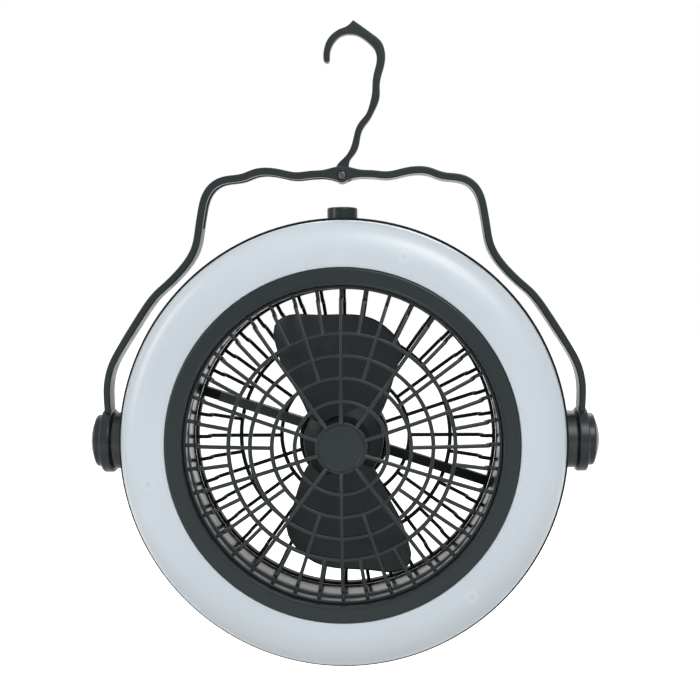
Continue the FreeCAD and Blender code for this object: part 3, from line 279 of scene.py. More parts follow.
def round_about(profile, line="y", closed=True, steps=ROUND_STEPS):
    """Surface of revolution: (radius, height) goes to radius times (sin t, cos t) across the line and height
    along it. An open profile starts and ends on the line."""
    turn = np.linspace(0, 2 * np.pi, steps, endpoint=False)[:, None]
    radius, height = profile[:, 0], profile[:, 1]
    across = radius * np.sin(turn)
    up = radius * np.cos(turn)
    along = np.broadcast_to(height, across.shape)
    points = {"x": (along, across, up), "y": (across, along, up), "z": (across, up, along)}[line]
    return Skin(np.stack(points, -1), True, closed)


def headings(path):
    """Unit directions along a path: the sum of the directions of the runs on both sides of each point."""
    runs = np.diff(path, axis=0)
    runs /= np.linalg.norm(runs, axis=1)[:, None]
    both = np.vstack((runs[:1], runs[:-1] + runs[1:], runs[-1:]))
    return both / np.linalg.norm(both, axis=1)[:, None]


def close_ends(rings):
    """The first and last ring are repeated, drawn in to their middles, so that the bar is closed."""
    first = np.broadcast_to(rings[:1].mean(axis=1, keepdims=True), rings[:1].shape)
    last = np.broadcast_to(rings[-1:].mean(axis=1, keepdims=True), rings[-1:].shape)
    return np.concatenate((first, rings, last))


def carried(path, side, section):
    """Closed bar: each (a, b) of the section goes to the path's point plus a along the steady side direction
    plus b along the normal, which is the side crossed with the path's heading."""
    side = np.array(side, float)
    normal = np.cross(side, headings(path))
    section = np.broadcast_to(section, (len(path),) + section.shape[-2:])
    rings = path[:, None] + section[..., :1] * side + section[..., 1:] * normal[:, None]
    return Skin(close_ends(rings), False, True)


def bar(width, depth, radius, steps=3):
    """Section of a bar: a rectangle about its middle with rounded corners."""
    across, up = width / 2, depth / 2
    corners = [(-across, -up), (0, -up), (across, -up), (across, 0), (across, up), (0, up), (-across, up),
               (-across, 0)]
    return soften(corners, [radius, 0] * 4, steps=steps)


def spun(skin, degrees):
    """The same surface turned clockwise about the fan's axis, as seen from the front."""
    turn = math.radians(degrees)
    cosine, sine = math.cos(turn), math.sin(turn)
    matrix = np.array([[cosine, 0, -sine], [0, 1, 0], [sine, 0, cosine]])
    return skin._replace(points=skin.points @ matrix)


def mirrored(skin):
    """The same surface on the other side of the fan."""
    return skin._replace(points=skin.points * (-1, 1, 1))


def moved(skin, x=0.0, y=0.0, z=0.0):
    """The same surface moved."""
    return skin._replace(points=skin.points + (x, y, z))


def faces_of(skin, start):
    """Quads between neighbouring points of a grid, joined round where the skin says so."""
    rows, columns = skin.points.shape[:2]
    index = np.arange(rows * columns).reshape(rows, columns) + start
    if skin.rows_join:
        index = np.vstack((index, index[:1]))
    if skin.columns_join:
        index = np.column_stack((index, index[:, :1]))
    quads = np.stack((index[:-1, :-1], index[1:, :-1], index[1:, 1:], index[:-1, 1:]), -1)
    return quads.reshape(-1, 4)


def shaded(mesh):
    """The mesh with smooth shading and its sharp edges kept."""
    mesh.shade_smooth()
    mesh.set_sharp_from_angle(angle=math.radians(SHARP_DEGREES))
    return mesh


def mesh_of(name, skins):
    """Mesh from grids of points: doubles at poles and seams are merged and the faces turned outwards."""
    corners = np.vstack([skin.points.reshape(-1, 3) for skin in skins]) + (0, 0, AXIS_Z)
    starts = np.cumsum([0] + [skin.points[..., 0].size for skin in skins[:-1]])
    quads = np.vstack([faces_of(skin, start) for skin, start in zip(skins, starts)])
    mesh = bpy.data.meshes.new(name)
    mesh.from_pydata(corners.tolist(), [], quads.tolist())
    work = bmesh.new()
    work.from_mesh(mesh)
    bmesh.ops.remove_doubles(work, verts=work.verts, dist=1e-7)
    bmesh.ops.recalc_face_normals(work, faces=work.faces)
    work.to_mesh(mesh)
    work.free()
    return shaded(mesh)


def cut_away(mesh, cutters):
    """The mesh without the space of the cutters, by a Boolean modifier whose result is kept."""
    target = bpy.data.objects.new("cut_target", mesh)
    tool = bpy.data.objects.new("cut_tool", mesh_of("cut_tool", cutters))
    for thing in (target, tool):
        bpy.context.scene.collection.objects.link(thing)
    modifier = target.modifiers.new("Cut", "BOOLEAN")
    modifier.operation = "DIFFERENCE"
    modifier.solver = "EXACT"
    modifier.object = tool
    seen = target.evaluated_get(bpy.context.evaluated_depsgraph_get())
    result = bpy.data.meshes.new_from_object(seen)
    for thing in (target, tool):
        old = thing.data
        bpy.data.objects.remove(thing)
        bpy.data.meshes.remove(old)
    return shaded(result)


def one_mesh(meshes, name):
    """Several meshes as one."""
    work = bmesh.new()
    for mesh in meshes:
        work.from_mesh(mesh)
        bpy.data.meshes.remove(mesh)
    whole = bpy.data.meshes.new(name)
    work.to_mesh(whole)
    work.free()
    return shaded(whole)


def add_piece(mesh, body, slot, finish, *replaced):
    """Object for a mesh: it rides on a body, stands for CAD nodes and has a finish. Its flat faces keep flat
    shading beside their rounded edges."""
    piece = bpy.data.objects.new(mesh.name, mesh)
    bpy.context.scene.collection.objects.link(piece)
    mesh.materials.append(finish)
    even = piece.modifiers.new("Even shading", "WEIGHTED_NORMAL")
    even.keep_sharp = True
    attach(piece, body)
    if replaced:
        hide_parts(*replaced)
    return piece


# Guards

def ball_drop(radius, bend_r, rise):
    """How far a dome that rises by rise over bend_r lies behind its top at a radius."""
    if rise < 0.01 * MM:
        return np.zeros_like(np.asarray(radius, float))
    ball = (bend_r ** 2 + rise ** 2) / (2 * rise)
    return ball - np.sqrt(ball ** 2 - np.asarray(radius, float) ** 2)


def rib(sizes, start_r, width, depth, rise):
    """Rib at the top of a guard: a rounded bar along the dome, bent back near the duct and out to the seat.
    The dome's point at a radius lies behind its top by ball minus the root of ball squared less radius
    squared. A rib deeper than the others, as a strut is, runs straight to the seat."""
    bend_r = DUCT_R - sizes.bend_gap
    foot_r = SEAT_R - 0.75 * MM
    foot_y = sizes.crank + sizes.rib_depth / 2
    radii = np.linspace(start_r, bend_r, 9)
    along = np.column_stack((radii, ball_drop(radii, bend_r, rise) - rise + depth / 2))
    if depth > sizes.rib_depth:
        flat = np.vstack((along, (foot_r, depth / 2)))
    else:
        chain = np.vstack((along, (bend_r, foot_y), (foot_r, foot_y)))
        bends = np.zeros(len(chain))
        bends[-3:-1] = sizes.bend_round
        flat = soften(chain, bends, closed=False, steps=5)
    path = np.column_stack((np.zeros(len(flat)), flat[:, 1], flat[:, 0]))
    return carried(path, (1, 0, 0), bar(width, depth, sizes.rib_round))


def guard_ring(sizes, radius, rise):
    """Ring of a guard: a rounded section carried round the axis a little behind the ribs' faces."""
    face = float(ball_drop(radius, DUCT_R - sizes.bend_gap, rise)) - rise + sizes.ring_sink
    section = bar(sizes.ring_width, sizes.rib_depth, sizes.rib_round)
    return round_about(section + (radius, face + sizes.rib_depth / 2))


def seat_ring(sizes):
    """Ring in the duct that carries the feet of the ribs."""
    back = sizes.crank + sizes.rib_depth + 0.25 * MM
    front = sizes.crank + sizes.rib_depth - 5.0 * MM
    inner = SEAT_R - 1.5 * MM
    return round_about(soften([(inner, front), (SEAT_R, front), (SEAT_R, back), (inner, back)], 0.35 * MM))


def all_ribs(sizes, rise, middle_r, left_out=()):
    """Every fourth rib starts at the middle, those halfway between them at the second ring and the others at
    the last ring."""
    starts = (middle_r, GUARD_RINGS[3], GUARD_RINGS[1], GUARD_RINGS[3])
    ribs = []
    for index in range(RIBS):
        angle = index * 360.0 / RIBS
        if angle not in left_out:
            shape = rib(sizes, starts[index % 4], sizes.rib_width, sizes.rib_depth, rise)
            ribs.append(spun(shape, angle))
    return ribs


def front_guard(sizes):
    """Domed guard: 40 ribs, four rings, a stepped disc and the seat ring, in depth from the guard's bend."""
    bend_y = BEZEL_LOW.y + sizes.bead_height + sizes.guard_sink
    rise = bend_y - FRONT_LOW.y
    sunk_y = 0.3 * MM - rise
    step_y = 1.0 * MM - rise
    back_y = 4.0 * MM - rise
    sunk_r = sizes.hub_face - 0.9 * MM
    rim_r = sizes.hub_face - 0.6 * MM
    disc = soften(
        [(0, sunk_y), (sunk_r, sunk_y), (rim_r, -rise), (sizes.hub_face, -rise), (sizes.hub_face, step_y),
         (sizes.hub_radius, step_y), (sizes.hub_radius, back_y), (0, back_y)],
        [0, 0.2 * MM, 0.15 * MM, 0.25 * MM, 0.1 * MM, 0.5 * MM, 0.3 * MM, 0], closed=False)
    skins = [round_about(disc, closed=False), seat_ring(sizes)]
    skins += [guard_ring(sizes, radius, rise) for radius in GUARD_RINGS]
    skins += all_ribs(sizes, rise, sizes.hub_radius - 1.0 * MM)
    return mesh_of("front_guard", [moved(skin, y=bend_y) for skin in skins])


def rear_guard(sizes):
    """Flat guard from behind: ribs, two rings, two thick struts and the motor's cup with two screw holes."""
    face_y = REAR_HIGH.y
    root_r = sizes.cup_radius - 1.0 * MM

    def turned_back(skin):
        """The same surface with its face to the back, at the guard's face."""
        return skin._replace(points=skin.points * (1, -1, 1) + (0, face_y, 0))

    skins = [guard_ring(sizes, GUARD_RINGS[1], 0), guard_ring(sizes, GUARD_RINGS[3], 0), seat_ring(sizes)]
    skins += all_ribs(sizes, 0, root_r, STRUT_ANGLES)
    for angle in STRUT_ANGLES:
        skins.append(spun(rib(sizes, root_r, sizes.strut_width, sizes.strut_depth, 0), angle))
    depth = face_y - REAR_LOW.y
    cup_r = sizes.cup_radius
    cup_in = cup_r - sizes.cup_wall
    floor = 3.0 * MM
    cup = soften(
        [(0, 0), (cup_r, 0), (cup_r, depth), (cup_in, depth), (cup_in, floor), (0, floor)],
        [0, 0.8 * MM, 0.5 * MM, 0.4 * MM, 0.5 * MM, 0], closed=False)
    cup_mesh = mesh_of("motor_cup", [turned_back(round_about(cup, closed=False))])
    head_r, shank_r, head_depth, through = 2.3, 1.2, 1.5, 4.0
    hole = np.array([(0, -1.0), (head_r, -1.0), (head_r, head_depth), (shank_r, head_depth),
                     (shank_r, through), (0, through)]) * MM
    screw_x = 8.0 * MM
    holes = []
    for side in (-screw_x, screw_x):
        holes.append(moved(turned_back(round_about(hole, closed=False, steps=32)), x=side))
    cup_mesh = cut_away(cup_mesh, holes)
    return one_mesh([cup_mesh, mesh_of("rear_ribs", [turned_back(skin) for skin in skins])], "rear_guard")


# Front of the body

def bezel(sizes):
    """Dark ring: a section with a bead round the opening, a flat face and a rounded outer edge, turned
    round the axis."""
    face = BEZEL_LOW.y + sizes.bead_height
    back = DUCT_FRONT_Y
    web = BEZEL_HIGH.y
    web_r = BEZEL_R - 1.5 * MM
    bead_r = DUCT_R + sizes.bead_width
    bead_y = BEZEL_LOW.y
    outline = soften(
        [(DUCT_R, back), (DUCT_R, bead_y), (bead_r, bead_y), (bead_r, face), (BEZEL_R, face), (BEZEL_R, web),
         (web_r, web), (web_r, back)],
        [0, 0.5 * MM, 0.3 * MM, 0.18 * MM, 1.0 * MM, 0.2 * MM, 0, 0.3 * MM], steps=5)
    return mesh_of("bezel_ring", [round_about(outline, steps=RING_STEPS)])


def crown(inner_r, outer_r, top_y, side_y, height):
    """Curve of the light's face: a cubic with four poles, flat inside and round at the outer side."""
    poles = np.array([
        (inner_r, top_y), ((inner_r + outer_r) / 2, top_y - height),
        (outer_r - 0.02 * (outer_r - inner_r), top_y + 0.6 * height), (outer_r, side_y)])
    t = np.linspace(0, 1, 40)[:, None]
    weights = np.hstack(((1 - t) ** 3, 3 * t * (1 - t) ** 2, 3 * t ** 2 * (1 - t), t ** 3))
    return weights @ poles


def light_ring(sizes):
    """Milky ring: a crowned wall with a skirt on each side and three posts, as turned sections."""
    inner_r = LIGHT_IN_R
    outer_r = LIGHT_HIGH.x
    top_y = BEZEL_LOW.y + sizes.bead_height + 0.6 * MM
    side_y = top_y + 10.9 * MM
    foot_y = side_y + 3.5 * MM
    web_y = LIGHT_HIGH.y
    skin = sizes.light_skin
    face = crown(inner_r, outer_r, top_y, side_y, sizes.light_crown)
    rim = face[0] + np.array([(0.0, 0.55), (0.08, 0.2), (0.3, 0.03)]) * MM
    under = crown(inner_r + skin, outer_r - skin, top_y + skin, side_y, sizes.light_crown)[::-1]
    outline = np.vstack((
        rim, face[2:], [(outer_r, foot_y), (outer_r - skin, foot_y)], under,
        [(inner_r + skin, web_y), (inner_r, web_y)]))
    skins = [round_about(outline, steps=RING_STEPS)]
    post = rod(3.5 * MM, top_y + skin * 0.6, web_y, "y", 32)
    for angle in POST_ANGLES:
        skins.append(spun(moved(post, z=POST_CIRCLE_R), angle))
    return mesh_of("light_ring", skins)


# Impeller

def blade(sizes, middle_y):
    """Upper blade. Between its left and right edge lines, its root arc and its tip line, a point is the blend
    of the edges (a Coons patch), at a depth of x times the tangent of a pitch that falls evenly outwards.
    The wall swells from nothing at the rim to half the thickness each way along a quarter circle."""
    radius = sizes.blade_thickness / 2
    scale = BLADE_TIP_R / (max(math.hypot(*point) for point in BLADE_TIP) * MM)
    count = 25
    root_r = math.hypot(*BLADE_LEFT[0]) * MM
    first = math.atan2(*BLADE_LEFT[0])
    last = math.atan2(*BLADE_RIGHT[0])
    turn = np.linspace(first, last, count)
    quarter = np.linspace(0, np.pi / 2, 5)
    inset = radius * (1 - np.cos(quarter))
    swell = radius * np.sin(quarter)
    rise = np.concatenate((swell, np.full(count - 2, radius), swell[::-1]))

    def stations(span):
        """Shares across a span: on the quarter circle at both rims and even between them."""
        even = np.linspace(0, 1, count)[1:-1] * 0.96 + 0.02
        return np.concatenate((inset / span, even, 1 - inset[::-1] / span))

    def at(line, share):
        """Points at shares of a line of even steps."""
        place = share * (len(line) - 1)
        return np.column_stack([np.interp(place, np.arange(len(line)), line[:, axis]) for axis in (0, 1)])

    s, t = stations(BLADE_WIDE), stations(BLADE_TALL)
    left = smooth(BLADE_LEFT, 81) * scale
    right = smooth(BLADE_RIGHT, 81) * scale
    left[0] = (root_r * math.sin(first), root_r * math.cos(first))
    right[0] = (root_r * math.sin(last), root_r * math.cos(last))
    tip = smooth(BLADE_TIP, 161) * scale
    root = np.column_stack((root_r * np.sin(turn), root_r * np.cos(turn)))
    left_t, right_t = at(left, t)[:, None], at(right, t)[:, None]
    root_s, tip_s = at(root, s)[None], at(tip, s)[None]
    a, b = s[None, :, None], t[:, None, None]
    flat = (1 - a) * left_t + a * right_t + (1 - b) * root_s + b * tip_s
    flat -= (1 - a) * (1 - b) * left[0] + a * (1 - b) * right[0] + (1 - a) * b * left[-1] + a * b * right[-1]
    across, up = flat[..., 0], flat[..., 1]
    share = (up - PITCH_FROM) / PITCH_SPAN
    pitch = np.radians(ROOT_PITCH - PITCH_FALL * share)
    half = np.minimum(rise[:, None], rise[None, :])
    depth = middle_y + across * np.tan(pitch)
    points = []
    for side in (-1, 1):
        points.append(np.stack((
            across - side * half * np.sin(pitch), depth + side * half * np.cos(pitch), up), -1))
    return [Skin(grid, False, False) for grid in points]


def impeller(sizes):
    """Hollow bell-shaped hub turned from its section, and two blades, the second half a turn round."""
    front_y = NUT_HIGH.y
    back_y = REAR_LOW.y - 3.0 * MM
    outer, wall = sizes.impeller_radius, 1.8 * MM
    neck_r, shoulder_r = HUB_NECK * outer, HUB_SHOULDER * outer
    depth = back_y - front_y
    shoulder_y, brim_y = front_y + HUB_SHOULDER_DEPTH * depth, front_y + HUB_BRIM_DEPTH * depth
    bore_r, sleeve_r, sleeve_y = 1.5 * MM, 5.0 * MM, back_y - 3.0 * MM
    section = soften(
        [(bore_r, front_y), (neck_r, front_y), (shoulder_r, shoulder_y), (outer, brim_y), (outer, back_y),
         (outer - wall, back_y), (outer - wall, brim_y + wall), (shoulder_r - wall, shoulder_y + wall),
         (neck_r - wall, front_y + wall), (sleeve_r, front_y + wall), (sleeve_r, sleeve_y),
         (bore_r, sleeve_y)],
        np.array([0.2, 1.5, 5.0, 2.0, 0.4, 0.3, 1.0, 1.0, 0.1, 0.1, 0.3, 0.2]) * MM, steps=8)
    skins = [round_about(section, steps=96)]
    upper = blade(sizes, back_y - 9.0 * MM)
    skins += upper + [spun(skin, 180.0) for skin in upper]
    return mesh_of("impeller", skins)


# Handle and hook

def strap(sizes):
    """Waved strap: a rounded section carried along the smooth outer line, its depth measured inwards. The
    depth grows evenly from the feet upwards, and by a squared cosine in the lobe that holds the hook."""
    inset = 1.5
    wide = (HANDLE_HIGH.x / MM - inset) / STRAP_LINE[0][0]
    tall = STRAP_TOP / MM / STRAP_LINE[-1][1]
    right = [(x * wide, z * tall) for x, z in STRAP_LINE]
    left = [(-x, z) for x, z in right[:-1]]
    line = smooth(left + right[::-1], 281)
    foot = np.array([(0, -4.0 * MM)])
    line = np.vstack((line[:1] + foot, line, line[-1:] + foot))
    path = np.column_stack((line[:, 0], np.zeros(len(line)), line[:, 1]))
    base, full, lobe_half, lobe_depth = 3.0 * MM, 3.6 * MM, 11.0 * MM, 4.4 * MM
    full_from = 60.0 * MM
    low = np.clip(1 - line[:, 1] / full_from, 0, 1)
    depth = full - (full - base) * low
    lobe = np.abs(line[:, 0]) < lobe_half
    depth = depth + np.where(lobe, lobe_depth * np.cos(np.pi * line[:, 0] / (2 * lobe_half)) ** 2, 0)
    section = bar(sizes.strap_width, base, sizes.strap_round, steps=4)
    inward = section[:, 1] > 0
    sections = np.repeat(section[None], len(path), axis=0)
    sections[..., 1] += base / 2 + inward * (depth - base)[:, None]
    return carried(path, (0, 1, 0), sections)


def box_skin(low, high):
    """Closed box between two corners, as a square section carried along X."""
    low, high = np.array(low), np.array(high)
    ring = np.array([(0, 0), (1, 0), (1, 1), (0, 1)])
    face = low[1:] + ring * (high - low)[1:]
    ends = [np.column_stack((np.full(4, x), face)) for x in (low[0], high[0])]
    return Skin(close_ends(np.array(ends)), False, True)


def rod(radius, start, end, line, steps=48):
    """Round bar along a line from start to end."""
    return round_about(np.array([(0, start), (radius, start), (radius, end), (0, end)]), line, False, steps)


def handle(sizes):
    """Strap with the hook's slot and screw hole cut through, and a turned hub at each foot."""
    slot_half = HOOK_HIGH.y + 0.3 * MM
    slot_foot = HOOK_PIVOT_Z - 25.5 * MM
    slot_right = 4.6 * MM
    front = -sizes.strap_width / 2
    head_r, head_sink, past = 2.35 * MM, 1.3 * MM, 1.0 * MM
    cutters = [
        box_skin((-HANDLE_HIGH.x, -slot_half, slot_foot), (slot_right, slot_half, STRAP_TOP + 5.0 * MM)),
        moved(rod(HOOK_BORE_R, 2 * front, -2 * front, "y"), z=HOOK_PIVOT_Z),
        moved(rod(head_r, front - past, front + head_sink, "y"), z=HOOK_PIVOT_Z),
    ]
    cut = mesh_of("handle_strap", [strap(sizes)])
    for cutter in cutters:
        cut = cut_away(cut, [cutter])
    outer_x = HANDLE_HIGH.x
    inner_x = outer_x - 5.4 * MM
    hub_r = AXIS_Z - HANDLE_LOW.z
    bore_r = 4.05 * MM
    hub = soften(
        [(bore_r, inner_x), (hub_r, inner_x), (hub_r, outer_x), (bore_r, outer_x)],
        [0.2 * MM, 1.2 * MM, 0.8 * MM, 0.2 * MM], steps=5)
    hub_skin = round_about(hub, "x", steps=96)
    hubs = mesh_of("handle_hubs", [hub_skin, mirrored(hub_skin)])
    return one_mesh([cut, hubs], "handle_frame")


def flat_bar(left, right, thickness, radius):
    """Closed bar between two lines in the plane of the hook: a rounded section whose width is their distance.
    Its last stations draw in along a half circle, which rounds the end."""
    across = right - left
    wide = np.linalg.norm(across, axis=1)
    unit = across / wide[:, None]
    middle = (left + right) / 2
    ahead = middle[-1] - middle[-2]
    ahead /= np.linalg.norm(ahead)
    turn = np.radians((22.5, 45.0, 67.5, 82.0))[:, None]
    middle = np.vstack((middle, middle[-1] + ahead * np.sin(turn) * wide[-1] / 2))
    unit = np.vstack((unit, np.repeat(unit[-1:], len(turn), axis=0)))
    wide = np.concatenate((wide, wide[-1] * np.cos(turn[:, 0])))
    section = bar(2 * radius + 0.1 * MM, thickness, radius, steps=4)
    side = np.sign(section[:, 0])
    section_half = np.abs(section[:, 0]).max()
    reach = np.maximum(wide[:, None] / 2 - section_half, 0)
    narrow = np.minimum(1.0, wide[:, None] / (2 * section_half))
    a = section[:, 0] * narrow + side * reach
    flat = middle[:, None] + a[..., None] * unit[:, None]
    depth = np.broadcast_to(section[:, 1], a.shape)
    rings = np.stack((flat[..., 0], depth, flat[..., 1]), -1)
    return Skin(close_ends(rings), False, True)


def hook(sizes):
    """Waved flat hook between its back and eye side lines, with a round eye bored for its screw."""
    back = np.vstack((smooth(HOOK_BACK, 90), smooth(HOOK_CREST, 40)[1:]))
    eye_side = np.vstack((smooth(HOOK_RISE, 90), smooth(HOOK_EYE_SIDE, 40)[1:]))
    thickness = HOOK_HIGH.y - HOOK_LOW.y
    blade_skin = flat_bar(back, eye_side, thickness, sizes.hook_round)
    half = thickness / 2
    eye_r = 3.6 * MM
    eye = soften([(HOOK_BORE_R, -half), (eye_r, -half), (eye_r, half), (HOOK_BORE_R, half)],
                 [0.2 * MM, sizes.hook_round, sizes.hook_round, 0.2 * MM])
    skins = [blade_skin, round_about(eye, steps=64)]
    return mesh_of("folding_hook", [moved(skin, z=HOOK_PIVOT_Z) for skin in skins])


def hook_screw():
    """Pan head with a straight slot, and its shank across the lobe."""
    front = SCREW_LOW.y
    head_r, shank_r, head_back = 2.2 * MM, 1.5 * MM, front + 1.1 * MM
    head = soften([(0, front), (head_r, front), (head_r, head_back), (shank_r, head_back),
                   (shank_r, SCREW_HIGH.y), (0, SCREW_HIGH.y)],
                  [0, 0.7 * MM, 0, 0, 0.2 * MM, 0], closed=False, steps=6)
    mesh = mesh_of("hook_screw_head", [moved(round_about(head, closed=False, steps=48), z=HOOK_PIVOT_Z)])
    reach, slot_half, slot_depth, slot_degrees = 3.0 * MM, 0.42 * MM, 0.8 * MM, 50.0
    slot = box_skin((-reach, front - 1.0 * MM, -slot_half), (reach, front + slot_depth, slot_half))
    return cut_away(mesh, [moved(spun(slot, slot_degrees), z=HOOK_PIVOT_Z)])


# Knob and pivots

def knob(sizes):
    """Smooth round knob, turned about its upright line, with a hollow for the shaft."""
    base = KNOB_LOW.z - AXIS_Z
    top = KNOB_HIGH.z - AXIS_Z
    radius = KNOB_HIGH.x + 0.35 * MM
    hollow_r, hollow_top = 3.0 * MM, top - 1.6 * MM
    outline = soften(
        [(0, hollow_top), (hollow_r, hollow_top), (hollow_r, base), (radius, base), (radius, top), (0, top)],
        [0, 0, 0.1 * MM, 0.35 * MM, sizes.knob_round, 0], closed=False, steps=6)
    return mesh_of("knob", [round_about(outline, "z", False, 96)])


def pivot_cap():
    """Right cap: a short rounded flank and a shallow dome, hollow for the screw's head. The dome is an arc
    of the circle through its rim and its top."""
    base, top = CAP_LOW.x, CAP_HIGH.x
    radius = CAP_HIGH.z - AXIS_Z
    flank = base + 3.4 * MM
    rim_r = radius - 0.6 * MM
    rise = top - flank
    ball = (rim_r ** 2 + rise ** 2) / (2 * rise)
    turn = np.linspace(math.asin(rim_r / ball), 0, 14)
    dome = np.column_stack((ball * np.sin(turn), top - ball + ball * np.cos(turn)))
    hollow_r, hollow_top = 8.0 * MM, top - 2.6 * MM
    hollow = [(0, hollow_top), (hollow_r, hollow_top)]
    rim = soften([(hollow_r, base), (radius, base), (radius, flank), dome[1]], [0, 0.4 * MM, 1.1 * MM, 0],
                 closed=False, steps=5)
    return round_about(np.vstack((hollow, rim[:-1], dome[1:])), "x", False, 96)


# Finishes

def new_finish(name):
    """Empty material with its nodes, its shader and the piece's own coordinates."""
    material = bpy.data.materials.new(name)
    material.use_nodes = True
    tree = material.node_tree
    shader = tree.nodes["Principled BSDF"]
    place = tree.nodes.new("ShaderNodeTexCoord").outputs["Object"]
    return material, tree, shader, place


def noise(tree, place, size, detail=3.0):
    """Noise whose patches are about a size in metres across."""
    node = tree.nodes.new("ShaderNodeTexNoise")
    node.inputs["Scale"].default_value = 1 / size
    node.inputs["Detail"].default_value = detail
    tree.links.new(place, node.inputs["Vector"])
    return node.outputs["Fac"]


def ranged(tree, value, low, high, start=0.3, end=0.7, smooth_step=False):
    """A value from start to end mapped to low to high."""
    node = tree.nodes.new("ShaderNodeMapRange")
    node.interpolation_type = "SMOOTHSTEP" if smooth_step else "LINEAR"
    for socket, number in (("From Min", start), ("From Max", end), ("To Min", low), ("To Max", high)):
        node.inputs[socket].default_value = number
    tree.links.new(value, node.inputs["Value"])
    return node.outputs["Result"]


def mixed(tree, share, first, second):
    """Colour between two, each a colour or a socket, by a share."""
    node = tree.nodes.new("ShaderNodeMix")
    node.data_type = "RGBA"
    for socket, value in (("A", first), ("B", second)):
        target = [item for item in node.inputs if item.name == socket and item.type == "RGBA"][0]
        if isinstance(value, bpy.types.NodeSocket):
            tree.links.new(value, target)
        else:
            target.default_value = (*value, 1.0)
    if isinstance(share, bpy.types.NodeSocket):
        tree.links.new(share, node.inputs["Factor"])
    else:
        node.inputs["Factor"].default_value = share
    return [item for item in node.outputs if item.type == "RGBA"][0]


def scaled(tint, share):
    """Colour made lighter or darker."""
    return tuple(min(1.0, channel * share) for channel in tint)


def grained(tree, shader, height, strength, depth):
    """Bump from a height."""
    bump = tree.nodes.new("ShaderNodeBump")
    bump.inputs["Strength"].default_value = strength
    bump.inputs["Distance"].default_value = depth
    tree.links.new(height, bump.inputs["Height"])
    tree.links.new(bump.outputs["Normal"], shader.inputs["Normal"])


# Colour of the highlight painted along pointed edges,
# and half the width of the dark line where the two halves of the body meet
PAINTED_EDGE_HIGHLIGHT = (0.028, 0.034, 0.036)
PARTING_HALF = 0.3 * MM


def moulded(name, tint, rough=0.32, grain=0.35 * MM, strength=0.06, gloss=0.29, spread=0.12, painted_highlight=False,
            parted=False):
    """Moulded plastic: cloudy colour, fine spark-eroded grain and slightly uneven gloss. One with a painted
    highlight is lighter where the surface is pointed, a highlight painted along its edges. A parted one has
    the dark parting line, and is dull in front of it."""
    material, tree, shader, place = new_finish(name)
    cloud = noise(tree, place, 18.0 * MM)
    speck = noise(tree, place, grain, 2.0)
    base = mixed(tree, cloud, scaled(tint, 1 - spread), scaled(tint, 1 + spread))
    if painted_highlight:
        # Painted highlight: pointed edges are made lighter, standing in for the light their rounding catches
        shape = tree.nodes.new("ShaderNodeNewGeometry")
        edge = ranged(tree, shape.outputs["Pointiness"], 0.0, 1.0, 0.52, 0.6, True)
        base = mixed(tree, edge, base, PAINTED_EDGE_HIGHLIGHT)
    satin = ranged(tree, noise(tree, place, 6.0 * MM), rough - 0.05, rough + 0.05)
    if parted:
        depth = tree.nodes.new("ShaderNodeSeparateXYZ")
        tree.links.new(place, depth.inputs[0])
        gap = tree.nodes.new("ShaderNodeMath")
        gap.operation = "COMPARE"
        gap.inputs[1].default_value = PARTING_Y
        gap.inputs[2].default_value = PARTING_HALF
        tree.links.new(depth.outputs["Y"], gap.inputs[0])
        base = mixed(tree, gap.outputs["Value"], base, scaled(tint, 0.15))
        dull_until, gone_at = PARTING_Y - 5.0 * MM, PARTING_Y - 1.0 * MM
        front = ranged(tree, depth.outputs["Y"], 0.75, 0.0, dull_until, gone_at, True)
        coarse = tree.nodes.new("ShaderNodeMath")
        coarse.operation = "MAXIMUM"
        tree.links.new(satin, coarse.inputs[0])
        tree.links.new(front, coarse.inputs[1])
        satin = coarse.outputs["Value"]
    tree.links.new(base, shader.inputs["Base Color"])
    tree.links.new(satin, shader.inputs["Roughness"])
    shader.inputs["Specular IOR Level"].default_value = gloss
    grained(tree, shader, speck, strength, 0.02 * MM)
    return material


def plated(name, tint, rough=0.28, metallic=1.0):
    """Plated or turned metal: fine turning lines across the piece and cloudy gloss."""
    material, tree, shader, place = new_finish(name)
    lines = tree.nodes.new("ShaderNodeTexWave")
    lines.inputs["Scale"].default_value = 1 / (1.2 * MM)
    lines.inputs["Distortion"].default_value = 3.0
    tree.links.new(place, lines.inputs["Vector"])
    cloud = noise(tree, place, 2.5 * MM)
    tree.links.new(mixed(tree, cloud, scaled(tint, 0.86), scaled(tint, 1.1)), shader.inputs["Base Color"])
    tree.links.new(ranged(tree, cloud, rough - 0.08, rough + 0.1), shader.inputs["Roughness"])
    shader.inputs["Metallic"].default_value = metallic
    grained(tree, shader, lines.outputs["Fac"], 0.1, 0.01 * MM)
    return material


